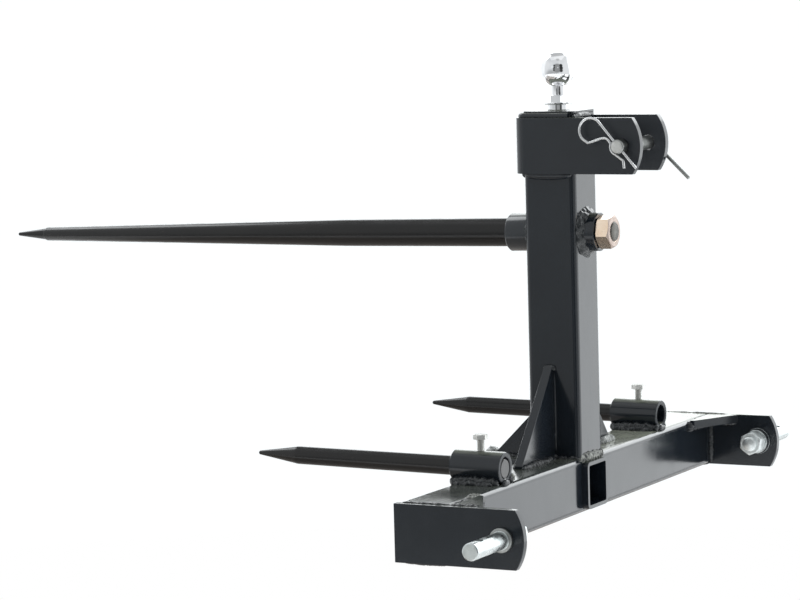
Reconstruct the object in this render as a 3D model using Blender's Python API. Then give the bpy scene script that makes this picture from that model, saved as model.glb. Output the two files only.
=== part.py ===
# Tractor bale spear with a hitch receiver and a hitch ball, on a Category 1 three-point frame.
# Metres. +X runs along the cross beam to the right-hand lower link pin (right as the tractor drives),
# +Y points to the tractor, the spears point along -Y, +Z is up.
# The origin is the midpoint of the axis through the two lower link pins.

import math

import bmesh
import bpy
from mathutils import Vector

# Play between faces that are welded or seated on each other
GAP = 0.0003

# Receiver tube: the square socket that a drawbar slides into
RECEIVER_BORE = 0.054
RECEIVER_WALL = 0.005
RECEIVER_LENGTH = 0.174
RECEIVER_MOUTH_REACH = 0.009
RECEIVER_CORNER = 0.007
HITCH_PIN_HOLE = 0.0165
HITCH_PIN_FROM_FRONT = 0.060

# Cross beam and mast, both cut from one square tube that just takes the receiver inside it
TUBE_WALL = 0.005
RECEIVER_PLAY = 0.0005
TUBE_CORNER = 0.008
PLATE_SPREAD = 0.848
BEAM_SETBACK = 0.075

# End plates with a round rear edge, one at each end of the beam
END_PLATE_THICKNESS = 0.010
END_PLATE_REACH = 0.0295
END_PLATE_CORNER_REACH = 0.018

# Corner gussets between the beam and the end plates
GUSSET_THICKNESS = 0.012
CORNER_GUSSET_ALONG_BEAM = 0.078
CORNER_GUSSET_ALONG_PLATE = 0.045
CORNER_GUSSET_TOE = 0.007

# Gussets at the foot of the mast
SIDE_GUSSET_WIDTH = 0.104
SIDE_GUSSET_HEIGHT = 0.125
SIDE_GUSSET_FROM_MAST_REAR = 0.042
FRONT_GUSSET_REACH = 0.066
FRONT_GUSSET_HEIGHT = 0.066
GUSSET_TOE = 0.004

# Top link bracket, one plate bent to a U round the top of the mast
TOP_PIN_HEIGHT = 0.460
BRACKET_THICKNESS = 0.010
BRACKET_HEIGHT = 0.075
EAR_REACH = 0.0265
EAR_CORNER_REACH = 0.0145

# Top link pin with its handle rod and its spring clip
TOP_PIN_DIAMETER = 0.019
TOP_PIN_PLAY = 0.0005
TOP_PIN_PAST_EAR = 0.017
HANDLE_DIAMETER = 0.0052
HANDLE_LENGTH = 0.083
HANDLE_BEHIND_PIN = 0.0115
HANDLE_FROM_PIN_END = 0.007
HANDLE_SLOPE = math.radians(44)
CLIP_WIRE = 0.0036
CLIP_FROM_PIN_END = 0.0065
CLIP_SLOPE = math.radians(49.3)
CLIP_EYE_RADIUS = 0.0162
CLIP_EYE_DISTANCE = 0.042
CLIP_LEG_PAST_PIN = 0.037
CLIP_TAIL = 0.016

# Cap plate and hitch ball on top of the mast
MAST_ABOVE_BRACKET = 0.004
CAP_THICKNESS = 0.004
BALL_DIAMETER = 0.0476
BALL_TOP_FLAT = 0.014
BALL_NECK_DIAMETER = 0.0205
BALL_NECK_HEIGHT = 0.0125
BALL_HEX_FLATS = 0.0245
BALL_HEX_HEIGHT = 0.0095
BALL_FLANGE_DIAMETER = 0.040
BALL_FLANGE_THICKNESS = 0.003
BALL_SHANK_DIAMETER = 0.019
BALL_WASHER_DIAMETER = 0.031
BALL_WASHER_HEIGHT = 0.0074
BALL_NUT_FLATS = 0.0286
BALL_NUT_HEIGHT = 0.016
BALL_SHANK_PAST_NUT = 0.003

# Main spear in its sleeve through the mast
SPEAR_BELOW_BRACKET = 0.0815
SPEAR_DROOP = math.radians(1.0)
SLEEVE_DIAMETER = 0.052
SLEEVE_FRONT_REACH = 0.037
SLEEVE_REAR_REACH = 0.021
SLEEVE_CHAMFER = 0.003
SPEAR_FIT = 0.0004
SPEAR_REACH = 0.810
SPEAR_ROOT_DIAMETER = 0.039
SPEAR_SEAT_REAR_DIAMETER = 0.031
SPEAR_KNEE_FROM_SLEEVE = 0.255
SPEAR_KNEE_DIAMETER = 0.0373
SPEAR_SHOULDER_DIAMETER = 0.0195
SPEAR_POINT_DIAMETER = 0.0165
SPEAR_POINT_LENGTH = 0.052
SPEAR_TIP_RADIUS = 0.0026
SPEAR_THREAD_DIAMETER = 0.028
SPEAR_NUT_FLATS = 0.041
SPEAR_NUT_HEIGHT = 0.0195
SPEAR_THREAD_PAST_NUT = 0.0015

# Stabilizer spears in their sockets on the beam
SOCKET_OFFSET = 0.255
SOCKET_DIAMETER = 0.041
SOCKET_LENGTH = 0.0715
SOCKET_FROM_BEAM_REAR = 0.0055
STABILIZER_RISE = math.radians(0.7)
STABILIZER_DIAMETER = 0.0254
STABILIZER_FIT = 0.0013
STABILIZER_REACH = 0.2945
STABILIZER_END_DIAMETER = 0.0238
STABILIZER_POINT_DIAMETER = 0.0230
STABILIZER_POINT_LENGTH = 0.0625
STABILIZER_TIP_RADIUS = 0.0028
LEFT_STABILIZER_RECESS = 0.012
RIGHT_STABILIZER_RECESS = 0.0005
SET_BOLT_DIAMETER = 0.010
SET_BOLT_LENGTH = 0.0235
SET_BOLT_HEAD_FLATS = 0.017
SET_BOLT_HEAD_HEIGHT = 0.0064
SET_BOLT_FROM_SOCKET_REAR = 0.035

# Lower link pins, bolted through the end plates
PIN_DIAMETER = 0.0222
PIN_REACH = 0.089
PIN_COLLAR_DIAMETER = 0.031
PIN_COLLAR_THICKNESS = 0.006
PIN_END_CHAMFER = 0.002
PIN_THREAD_DIAMETER = 0.0205
PIN_HOLE_PLAY = 0.0004
LINCH_HOLE = 0.011
LINCH_FROM_PIN_END = 0.024
FLAT_WASHER_DIAMETER = 0.038
FLAT_WASHER_THICKNESS = 0.003
LOCK_WASHER_DIAMETER = 0.034
LOCK_WASHER_THICKNESS = 0.006
PIN_NUT_FLATS = 0.030
PIN_NUT_HEIGHT = 0.0225
PIN_THREAD_PAST_NUT = 0.005

# How finely round shapes are cut into flats
CORNER_STEPS = 4
ROUND_STEPS = 32
FINE_STEPS = 40

# Sizes that follow from the ones above
RECEIVER_SIZE = RECEIVER_BORE + 2 * RECEIVER_WALL
TUBE_SIZE = RECEIVER_SIZE + 2 * RECEIVER_PLAY + 2 * TUBE_WALL
BEAM_TOP = TUBE_SIZE / 2
BEAM_REAR = -BEAM_SETBACK
BEAM_FRONT = BEAM_REAR - TUBE_SIZE
MAST_MIDDLE = (BEAM_REAR + BEAM_FRONT) / 2
PLATE_INNER = PLATE_SPREAD / 2
PLATE_OUTER = PLATE_INNER + END_PLATE_THICKNESS
BRACKET_INNER = TUBE_SIZE / 2 + GAP
BRACKET_OUTER = BRACKET_INNER + BRACKET_THICKNESS
BRACKET_TOP = TOP_PIN_HEIGHT + BRACKET_HEIGHT / 2
BRACKET_BOTTOM = TOP_PIN_HEIGHT - BRACKET_HEIGHT / 2
MAST_TOP = BRACKET_TOP + MAST_ABOVE_BRACKET
CAP_BOTTOM = MAST_TOP + GAP
SPEAR_HEIGHT = BRACKET_BOTTOM - SPEAR_BELOW_BRACKET
CAP_TOP = CAP_BOTTOM + CAP_THICKNESS
RIGHT, LEFT = 1, -1
SIDES = (("left", LEFT), ("right", RIGHT))


def clear_scene():
    for item in list(bpy.data.objects):
        bpy.data.objects.remove(item, do_unlink=True)


def finish(name, colour, roughness, metallic):
    material = bpy.data.materials.new(name)
    material.use_nodes = True
    shader = material.node_tree.nodes["Principled BSDF"]
    shader.inputs["Base Color"].default_value = (*colour, 1.0)
    shader.inputs["Roughness"].default_value = roughness
    shader.inputs["Metallic"].default_value = metallic
    return material


def own_finish(kind, node_name):
    colour, roughness, metallic = {
        "black_paint": ((0.012, 0.013, 0.016), 0.32, 0.0),
        "spear_paint": ((0.010, 0.009, 0.009), 0.38, 0.0),
        "bright_zinc": ((0.62, 0.63, 0.63), 0.28, 1.0),
        "yellow_zinc": ((0.70, 0.52, 0.30), 0.32, 1.0),
        "spring_wire": ((0.72, 0.72, 0.72), 0.22, 1.0),
        "chrome": ((0.80, 0.80, 0.81), 0.07, 1.0),
    }[kind]
    return finish(kind + "_" + node_name, colour, roughness, metallic)


def add_object(name, bm, kind, parent=None):
    bmesh.ops.remove_doubles(bm, verts=bm.verts, dist=0.000001)
    bmesh.ops.recalc_face_normals(bm, faces=bm.faces)
    mesh = bpy.data.meshes.new(name)
    bm.to_mesh(mesh)
    bm.free()
    item = bpy.data.objects.new(name, mesh)
    bpy.context.scene.collection.objects.link(item)
    item.parent = parent
    if kind:
        mesh.materials.append(own_finish(kind, name))
        mesh.shade_smooth()
        mesh.set_sharp_from_angle(angle=math.radians(32))
    return item


def add_cutter(name, bm, parent=None):
    item = add_object(name, bm, None, parent)
    item.display_type = "WIRE"
    item.hide_render = True
    return item


def boolean(item, operation, other):
    modifier = item.modifiers.new(operation.lower() + "_" + other.name, "BOOLEAN")
    modifier.operation = operation
    modifier.solver = "EXACT"
    modifier.object = other


def axis_frame(name, place, turn):
    frame = bpy.data.objects.new(name, None)
    bpy.context.scene.collection.objects.link(frame)
    frame.location = place
    frame.rotation_euler = turn
    return frame


def place(item, location, turn=(0.0, 0.0, 0.0)):
    item.location = location
    item.rotation_euler = turn


def arc(centre, radius, start, end, steps):
    points = []
    for step in range(steps + 1):
        angle = start + (end - start) * step / steps
        points.append((centre[0] + radius * math.cos(angle), centre[1] + radius * math.sin(angle)))
    return points


def rounded_square(size, radius):
    points = []
    middle = size / 2 - radius
    for quarter, (u, v) in enumerate(((1, 1), (-1, 1), (-1, -1), (1, -1))):
        start = quarter * math.pi / 2
        points += arc((u * middle, v * middle), radius, start, start + math.pi / 2, CORNER_STEPS)
    return points


def bulged_edge(corner_reach, full_reach, half_height, steps=12):
    # Points of the round edge from its top corner to its bottom corner
    rise = full_reach - corner_reach
    radius = (half_height ** 2 + rise ** 2) / (2 * rise)
    centre = full_reach - radius
    spread = math.asin(half_height / radius)
    return arc((centre, 0.0), radius, spread, -spread, steps)


def extruded(corners, along):
    bm = bmesh.new()
    face = bm.faces.new([bm.verts.new(corner) for corner in corners])
    grown = bmesh.ops.extrude_face_region(bm, geom=[face])
    moved = [part for part in grown["geom"] if isinstance(part, bmesh.types.BMVert)]
    bmesh.ops.translate(bm, verts=moved, vec=along)
    return bm


def square_tube(size, wall, corner, start, along, frame):
    # frame gives the two directions of the section
    inner_corner = max(corner - wall, 0.4 * corner)
    bm = bmesh.new()
    rings = []
    for outline in (rounded_square(size, corner), rounded_square(size - 2 * wall, inner_corner)):
        rings.append([bm.verts.new(Vector(start) + frame[0] * u + frame[1] * v) for u, v in outline])
    count = len(rings[0])
    faces = []
    for index in range(count):
        after = (index + 1) % count
        corners = (rings[0][index], rings[0][after], rings[1][after], rings[1][index])
        faces.append(bm.faces.new(corners))
    grown = bmesh.ops.extrude_face_region(bm, geom=faces)
    moved = [part for part in grown["geom"] if isinstance(part, bmesh.types.BMVert)]
    bmesh.ops.translate(bm, verts=moved, vec=along)
    return bm


def turned(profile, steps=ROUND_STEPS, closed=False):
    # profile is a list of (radius, height) about the local Z axis
    bm = bmesh.new()
    verts = [bm.verts.new((radius, 0.0, height)) for radius, height in profile]
    edges = [bm.edges.new(pair) for pair in zip(verts, verts[1:])]
    if closed:
        edges.append(bm.edges.new((verts[-1], verts[0])))
    bmesh.ops.spin(
        bm, geom=verts + edges, cent=(0, 0, 0), axis=(0, 0, 1),
        angle=2 * math.pi, steps=steps, use_merge=False, use_duplicate=False)
    bmesh.ops.remove_doubles(bm, verts=bm.verts, dist=0.000001)
    bmesh.ops.dissolve_degenerate(bm, edges=bm.edges, dist=0.000001)
    return bm


def rod(diameter, low, high, steps=ROUND_STEPS):
    radius = diameter / 2
    return turned([(0, low), (radius, low), (radius, high), (0, high)], steps)


def hex_corners(flats, height):
    radius = flats / math.sqrt(3)
    angles = [math.radians(30 + 60 * index) for index in range(6)]
    return [(radius * math.cos(angle), radius * math.sin(angle), height) for angle in angles]


def hex_body(name, flats, low, high, kind, parent=None, chamfer_low=True, chamfer_high=True):
    # A hexagon whose corners are cut back by a cone at one or both ends
    item = add_object(name, extruded(hex_corners(flats, low), (0, 0, high - low)), kind, parent)
    face_radius = 0.475 * flats
    outside = 0.62 * flats
    drop = (outside - face_radius) * math.tan(math.radians(30))
    over = 0.001
    profile = [(0, low - over), (outside, low - over), (outside, high + over), (0, high + over)]
    if chamfer_low:
        profile[1:2] = [(face_radius, low - over), (face_radius, low), (outside, low + drop)]
    if chamfer_high:
        profile[-2:-1] = [(outside, high - drop), (face_radius, high), (face_radius, high + over)]
    boolean(item, "INTERSECT", add_cutter(name + "_cone", turned(profile, FINE_STEPS), parent))
    return item


def drill(item, name, diameter, low, high, parent=None, steps=ROUND_STEPS):
    cutter = add_cutter(name, rod(diameter, low, high, steps), parent)
    boolean(item, "DIFFERENCE", cutter)
    return cutter


def make_receiver_tube():
    mouth = BEAM_REAR + RECEIVER_MOUTH_REACH
    section = (Vector((1, 0, 0)), Vector((0, 0, 1)))
    bm = square_tube(
        RECEIVER_SIZE, RECEIVER_WALL, RECEIVER_CORNER,
        (0, mouth, 0), (0, -RECEIVER_LENGTH, 0), section)
    tube = add_object("receiver_tube", bm, "black_paint")
    hole = drill(tube, "hitch_pin_drill", HITCH_PIN_HOLE, -RECEIVER_SIZE, RECEIVER_SIZE, steps=24)
    place(hole, (0, mouth - RECEIVER_LENGTH + HITCH_PIN_FROM_FRONT, 0), (0, math.pi / 2, 0))


def make_cross_beam():
    length = PLATE_SPREAD - 2 * GAP
    section = (Vector((0, 1, 0)), Vector((0, 0, 1)))
    bm = square_tube(
        TUBE_SIZE, TUBE_WALL, TUBE_CORNER, (-length / 2, MAST_MIDDLE, 0), (length, 0, 0), section)
    beam = add_object("cross_beam", bm, "black_paint")
    opening = rounded_square(RECEIVER_SIZE + 2 * GAP, RECEIVER_CORNER + GAP)
    corners = [(x, BEAM_FRONT - TUBE_SIZE, z) for x, z in opening]
    slot = add_cutter("receiver_slot", extruded(corners, (0, 3 * TUBE_SIZE, 0)))
    boolean(beam, "DIFFERENCE", slot)


def make_end_plates():
    edge = bulged_edge(END_PLATE_CORNER_REACH, END_PLATE_REACH, BEAM_TOP)
    outline = edge + [(BEAM_FRONT, -BEAM_TOP), (BEAM_FRONT, BEAM_TOP)]
    for side, sign in SIDES:
        corners = [(sign * PLATE_INNER, y, z) for y, z in outline]
        bm = extruded(corners, (sign * END_PLATE_THICKNESS, 0, 0))
        plate = add_object(side + "_end_plate", bm, "black_paint")
        hole = drill(plate, side + "_pin_drill", PIN_THREAD_DIAMETER + 2 * PIN_HOLE_PLAY,
                     PLATE_INNER - 0.01, PLATE_OUTER + 0.01)
        place(hole, (0, 0, 0), (0, sign * math.pi / 2, 0))


def make_corner_gussets():
    # Flat plates level with the beam's top, with a blunt toe on the beam
    near_beam = BEAM_REAR + GAP
    for side, sign in SIDES:
        at_plate = PLATE_INNER - GAP
        outline = (
            (at_plate, near_beam),
            (at_plate, near_beam + CORNER_GUSSET_ALONG_PLATE),
            (PLATE_INNER - CORNER_GUSSET_ALONG_BEAM, near_beam + CORNER_GUSSET_TOE),
            (PLATE_INNER - CORNER_GUSSET_ALONG_BEAM, near_beam),
        )
        corners = [(sign * x, y, BEAM_TOP) for x, y in outline]
        bm = extruded(corners, (0, 0, -GUSSET_THICKNESS))
        add_object(side + "_corner_gusset", bm, "black_paint")


def make_mast():
    foot = BEAM_TOP + GAP
    section = (Vector((1, 0, 0)), Vector((0, 1, 0)))
    bm = square_tube(
        TUBE_SIZE, TUBE_WALL, TUBE_CORNER, (0, MAST_MIDDLE, foot), (0, 0, MAST_TOP - foot), section)
    return add_object("mast_tube", bm, "black_paint")


def make_mast_gussets():
    # Side gussets stand on the beam, the front one stands on the receiver tube
    foot = BEAM_TOP + GAP
    wall = TUBE_SIZE / 2 + GAP
    middle = BEAM_REAR - SIDE_GUSSET_FROM_MAST_REAR
    for side, sign in SIDES:
        outline = (
            (wall, foot),
            (wall + SIDE_GUSSET_WIDTH, foot),
            (wall + SIDE_GUSSET_WIDTH, foot + GUSSET_TOE),
            (wall + GUSSET_TOE, foot + SIDE_GUSSET_HEIGHT),
            (wall, foot + SIDE_GUSSET_HEIGHT),
        )
        corners = [(sign * x, middle - GUSSET_THICKNESS / 2, z) for x, z in outline]
        bm = extruded(corners, (0, GUSSET_THICKNESS, 0))
        add_object(side + "_mast_gusset", bm, "black_paint")
    front = BEAM_FRONT - GAP
    foot = RECEIVER_SIZE / 2 + GAP
    outline = (
        (front, foot),
        (front - FRONT_GUSSET_REACH, foot),
        (front - FRONT_GUSSET_REACH, foot + GUSSET_TOE),
        (front - GUSSET_TOE, foot + FRONT_GUSSET_HEIGHT),
        (front, foot + FRONT_GUSSET_HEIGHT),
    )
    corners = [(-GUSSET_THICKNESS / 2, y, z) for y, z in outline]
    add_object("front_mast_gusset", extruded(corners, (GUSSET_THICKNESS, 0, 0)), "black_paint")


def make_top_link_bracket():
    # One strip bent round the mast: its inner bends clear the mast's round corners
    inner_bend = TUBE_CORNER
    outer_bend = inner_bend + BRACKET_THICKNESS
    inner_front = BEAM_FRONT - GAP
    outer_front = inner_front - BRACKET_THICKNESS
    end = EAR_CORNER_REACH
    outer = [(BRACKET_OUTER, end)]
    outer += arc((BRACKET_OUTER - outer_bend, outer_front + outer_bend), outer_bend,
                 0, -math.pi / 2, 6)
    outer += [(-x, y) for x, y in reversed(outer)]
    inner = [(BRACKET_INNER, end)]
    inner += arc((BRACKET_INNER - inner_bend, inner_front + inner_bend), inner_bend,
                 0, -math.pi / 2, 6)
    inner += [(-x, y) for x, y in reversed(inner)]
    corners = [(x, y, BRACKET_BOTTOM) for x, y in outer + inner[::-1]]
    bracket = add_object("top_link_bracket", extruded(corners, (0, 0, BRACKET_HEIGHT)), "black_paint")
    edge = bulged_edge(EAR_CORNER_REACH, EAR_REACH, BRACKET_HEIGHT / 2)
    for side, sign in SIDES:
        corners = [(sign * BRACKET_INNER, y, TOP_PIN_HEIGHT + z) for y, z in edge]
        bulge = add_cutter(side + "_ear_bulge", extruded(corners, (sign * BRACKET_THICKNESS, 0, 0)))
        boolean(bracket, "UNION", bulge)
    hole = drill(bracket, "top_pin_drill", TOP_PIN_DIAMETER + 2 * TOP_PIN_PLAY,
                 -2 * BRACKET_OUTER, 2 * BRACKET_OUTER)
    place(hole, (0, 0, TOP_PIN_HEIGHT), (0, math.pi / 2, 0))


def make_top_link_pin():
    # The pin lies along X; its hole for the clip is at the right end, for the handle at the left end
    end = BRACKET_OUTER + TOP_PIN_PAST_EAR
    radius = TOP_PIN_DIAMETER / 2
    bevel = 0.0015
    profile = [(0, -end), (radius - bevel, -end), (radius, -end + bevel),
               (radius, end - bevel), (radius - bevel, end), (0, end)]
    pin = add_object("top_link_pin", turned(profile), "bright_zinc")
    place(pin, (0, 0, TOP_PIN_HEIGHT), (0, math.pi / 2, 0))
    clip_at = end - CLIP_FROM_PIN_END
    handle_at = -end + HANDLE_FROM_PIN_END
    down_rear = (-math.pi / 2 - CLIP_SLOPE, 0, 0)
    clip_drill = drill(pin, "clip_drill", CLIP_WIRE + 2 * GAP + 0.0006, -0.03, 0.03, steps=16)
    place(clip_drill, (clip_at, 0, TOP_PIN_HEIGHT), down_rear)
    handle_turn = (-math.pi / 2 - HANDLE_SLOPE, 0, 0)
    handle_drill = drill(pin, "handle_drill", HANDLE_DIAMETER + 2 * GAP, -0.03, 0.03, steps=16)
    place(handle_drill, (handle_at, 0, TOP_PIN_HEIGHT), handle_turn)
    round_end = 0.0012
    radius = HANDLE_DIAMETER / 2
    low = -HANDLE_BEHIND_PIN
    high = low + HANDLE_LENGTH
    profile = [(0, low), (radius - round_end, low), (radius, low + round_end),
               (radius, high - round_end), (radius - round_end, high), (0, high)]
    handle = add_object("top_pin_handle", turned(profile, 16), "bright_zinc")
    place(handle, (handle_at, 0, TOP_PIN_HEIGHT), handle_turn)
    make_spring_clip(clip_at)


def make_spring_clip(clip_at):
    # Wire path in the plane of the clip: u runs along the straight leg, v across it.
    # The pin's centre is the origin, and the bent leg hugs the pin from below.
    eye = (-CLIP_EYE_DISTANCE, -CLIP_EYE_RADIUS)
    hug = TOP_PIN_DIAMETER / 2 + GAP + CLIP_WIRE / 2
    path = [(CLIP_LEG_PAST_PIN, 0.0), (0.0, 0.0)]
    path += arc(eye, CLIP_EYE_RADIUS, math.radians(90), math.radians(312), 14)
    path += [(-1.85 * hug, -0.66 * hug)]
    path += arc((0, 0), hug, math.radians(210), math.radians(296), 8)
    path += [(hug + 0.18 * CLIP_TAIL, -0.70 * hug), (hug + 0.40 * CLIP_TAIL, -0.62 * hug),
             (hug + 0.56 * CLIP_TAIL, -0.74 * hug), (hug + 0.94 * CLIP_TAIL, -1.12 * hug)]
    curve = bpy.data.curves.new("r_clip", "CURVE")
    curve.dimensions = "3D"
    curve.bevel_depth = CLIP_WIRE / 2
    curve.bevel_resolution = 2
    curve.use_fill_caps = True
    spline = curve.splines.new("POLY")
    spline.points.add(len(path) - 1)
    along = Vector((0, math.cos(CLIP_SLOPE), -math.sin(CLIP_SLOPE)))
    across = Vector((0, math.sin(CLIP_SLOPE), math.cos(CLIP_SLOPE)))
    for point, (u, v) in zip(spline.points, path):
        point.co = (*(along * u + across * v), 1.0)
    curve.materials.append(own_finish("spring_wire", "r_clip"))
    clip = bpy.data.objects.new("r_clip", curve)
    bpy.context.scene.collection.objects.link(clip)
    clip.location = (clip_at, 0, TOP_PIN_HEIGHT)


def make_cap_plate():
    outline = rounded_square(TUBE_SIZE, TUBE_CORNER)
    corners = [(x, MAST_MIDDLE + y, CAP_BOTTOM) for x, y in outline]
    cap = add_object("cap_plate", extruded(corners, (0, 0, CAP_THICKNESS)), "black_paint")
    hole = drill(cap, "cap_drill", BALL_SHANK_DIAMETER + 2 * GAP, -0.02, 0.02)
    place(hole, (0, MAST_MIDDLE, CAP_TOP))


def make_hitch_ball():
    # Turned ball, neck, flange and shank in one piece, with a hexagon for the spanner
    axis = axis_frame("ball_axis", (0, MAST_MIDDLE, CAP_TOP + GAP), (0, 0, 0))
    washer_top = BALL_WASHER_HEIGHT + GAP
    flange_top = washer_top + BALL_FLANGE_THICKNESS
    hex_top = flange_top + BALL_HEX_HEIGHT
    neck = BALL_NECK_DIAMETER / 2
    ball = BALL_DIAMETER / 2
    flange = BALL_FLANGE_DIAMETER / 2
    shank = BALL_SHANK_DIAMETER / 2
    foot = -(CAP_THICKNESS + 3 * GAP + BALL_NUT_HEIGHT + BALL_SHANK_PAST_NUT)
    neck_angle = -math.acos(neck / ball)
    top_angle = math.acos(BALL_TOP_FLAT / 2 / ball)
    centre = hex_top + BALL_NECK_HEIGHT + ball * math.sin(-neck_angle)
    bevel = 0.001
    profile = [(0, foot), (shank - bevel, foot), (shank, foot + bevel), (shank, washer_top),
               (flange - bevel, washer_top), (flange, washer_top + bevel),
               (flange, flange_top - bevel / 2), (flange - bevel, flange_top), (neck, flange_top)]
    profile += arc((0, centre), ball, neck_angle, top_angle, 16)
    profile += [(0, centre + ball * math.sin(top_angle))]
    item = add_object("hitch_ball", turned(profile, FINE_STEPS), "chrome", axis)
    seat = washer_top + BALL_FLANGE_THICKNESS / 2
    wrench = hex_body("ball_hexagon", BALL_HEX_FLATS, seat, hex_top, None, axis, chamfer_low=False)
    wrench.display_type = "WIRE"
    wrench.hide_render = True
    boolean(item, "UNION", wrench)
    washer = split_washer("ball_lock_washer", BALL_SHANK_DIAMETER + 4 * GAP, BALL_WASHER_DIAMETER,
                          BALL_WASHER_HEIGHT, "bright_zinc", axis)
    washer.location = (0, 0, 0)
    nut_top = -(CAP_THICKNESS + 2 * GAP)
    nut = hex_body("ball_nut", BALL_NUT_FLATS, nut_top - BALL_NUT_HEIGHT, nut_top, "bright_zinc", axis)
    drill(nut, "ball_nut_drill", BALL_SHANK_DIAMETER + 2 * GAP,
          nut_top - BALL_NUT_HEIGHT - 0.01, nut_top + 0.01, axis)


def split_washer(name, bore, outside, height, kind, parent=None):
    inner, outer = bore / 2, outside / 2
    bevel = 0.0006
    profile = [(inner, 0), (outer - bevel, 0), (outer, bevel),
               (outer, height - bevel), (outer - bevel, height), (inner, height)]
    washer = add_object(name, turned(profile, ROUND_STEPS, closed=True), kind, parent)
    width = 0.0016
    lean = 0.35 * height
    corners = [(0, -width / 2 - lean, -height), (0, width / 2 - lean, -height),
               (0, width / 2 + 2 * lean, 2 * height), (0, -width / 2 + 2 * lean, 2 * height)]
    slit = add_cutter(name + "_slit", extruded(corners, (outside, 0, 0)), parent)
    slit.rotation_euler = (0, 0, math.radians(205))
    boolean(washer, "DIFFERENCE", slit)
    return washer


def pointed_rod(root, length_parts, knee, shoulder, point, tip_radius):
    # Profile from the root end outwards: knee, shoulder, small step, cone, round tip
    knee_at, shoulder_at, tip_at = length_parts
    step = 0.003
    cone_slope = math.atan((point / 2 - tip_radius) / (tip_at - shoulder_at - step))
    ball_at = tip_at - tip_radius
    profile = [(root / 2, knee_at[0]), (knee / 2, knee_at[1]), (shoulder / 2, shoulder_at),
               (point / 2, shoulder_at + step)]
    for index in range(5):
        angle = cone_slope + (math.pi / 2 - cone_slope) * index / 4
        profile.append((tip_radius * math.cos(angle), ball_at + tip_radius * math.sin(angle)))
    profile[-1] = (0, tip_at)
    return profile


def make_main_spear(mast):
    # Everything here lies on the spear's own axis; heights run from the mast's middle to the tip
    axis = axis_frame("main_spear_axis", (0, MAST_MIDDLE, SPEAR_HEIGHT),
                      (math.pi / 2 + SPEAR_DROOP, 0, 0))
    front = TUBE_SIZE / 2 + SLEEVE_FRONT_REACH
    rear = -TUBE_SIZE / 2 - SLEEVE_REAR_REACH
    sleeve_radius = SLEEVE_DIAMETER / 2
    root, seat = SPEAR_ROOT_DIAMETER / 2, SPEAR_SEAT_REAR_DIAMETER / 2
    profile = [(seat + SPEAR_FIT, rear), (sleeve_radius, rear), (sleeve_radius, front - SLEEVE_CHAMFER),
               (sleeve_radius - SLEEVE_CHAMFER, front), (root + SPEAR_FIT, front)]
    add_object("spear_sleeve", turned(profile, FINE_STEPS, closed=True), "black_paint", axis)
    hole = drill(mast, "sleeve_drill", SLEEVE_DIAMETER + 2 * GAP, -TUBE_SIZE, TUBE_SIZE, axis, FINE_STEPS)
    hole.location = (0, 0, 0)

    thread = SPEAR_THREAD_DIAMETER / 2
    nut_front = rear - GAP
    nut_rear = nut_front - SPEAR_NUT_HEIGHT
    thread_end = nut_rear - SPEAR_THREAD_PAST_NUT
    bevel = 0.002
    tip = front + SPEAR_REACH
    profile = [(0, thread_end), (thread - bevel, thread_end), (thread, thread_end + bevel),
               (thread, rear + 0.001), (seat, rear + 0.003)]
    lengths = ((front, front + SPEAR_KNEE_FROM_SLEEVE), tip - SPEAR_POINT_LENGTH, tip)
    profile += pointed_rod(SPEAR_ROOT_DIAMETER, lengths, SPEAR_KNEE_DIAMETER,
                           SPEAR_SHOULDER_DIAMETER, SPEAR_POINT_DIAMETER, SPEAR_TIP_RADIUS)
    add_object("main_spear", turned(profile), "spear_paint", axis)
    nut = hex_body("spear_nut", SPEAR_NUT_FLATS, nut_rear, nut_front, "yellow_zinc", axis)
    drill(nut, "spear_nut_drill", SPEAR_THREAD_DIAMETER + 2 * GAP,
          nut_rear - 0.01, nut_front + 0.01, axis)


def make_stabilizers():
    half = SOCKET_LENGTH / 2
    lift = SOCKET_DIAMETER / 2 + GAP + half * math.sin(STABILIZER_RISE)
    middle = BEAM_REAR - SOCKET_FROM_BEAM_REAR - half
    recesses = {"left": LEFT_STABILIZER_RECESS, "right": RIGHT_STABILIZER_RECESS}
    bore = STABILIZER_DIAMETER + 2 * STABILIZER_FIT
    bolt_at = -half + SET_BOLT_FROM_SOCKET_REAR
    # The bolt presses the spear down on the floor of the bore
    drop = STABILIZER_FIT - GAP
    for side, sign in SIDES:
        axis = axis_frame(side + "_socket_axis", (sign * SOCKET_OFFSET, middle, BEAM_TOP + lift),
                          (math.pi / 2 - STABILIZER_RISE, 0, 0))
        bevel = 0.0008
        outer = SOCKET_DIAMETER / 2
        profile = [(bore / 2, -half), (outer - bevel, -half), (outer, -half + bevel),
                   (outer, half - bevel), (outer - bevel, half), (bore / 2, half)]
        bm = turned(profile, ROUND_STEPS, closed=True)
        socket = add_object(side + "_socket", bm, "black_paint", axis)

        rear = -half + recesses[side]
        tip = half + STABILIZER_REACH
        shoulder_at = tip - STABILIZER_POINT_LENGTH
        edge = STABILIZER_DIAMETER / 2
        profile = [(0, rear), (edge - bevel, rear), (edge, rear + bevel)]
        lengths = ((half, half + 0.01), shoulder_at, tip)
        profile += pointed_rod(STABILIZER_DIAMETER, lengths, STABILIZER_DIAMETER,
                               STABILIZER_END_DIAMETER, STABILIZER_POINT_DIAMETER,
                               STABILIZER_TIP_RADIUS)
        seat = axis_frame(side + "_stabilizer_axis", (0, -drop, 0), (0, 0, 0))
        seat.parent = axis
        add_object(side + "_stabilizer_spear", turned(profile), "spear_paint", seat)
        make_set_bolt(side, socket, seat, bolt_at)


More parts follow.
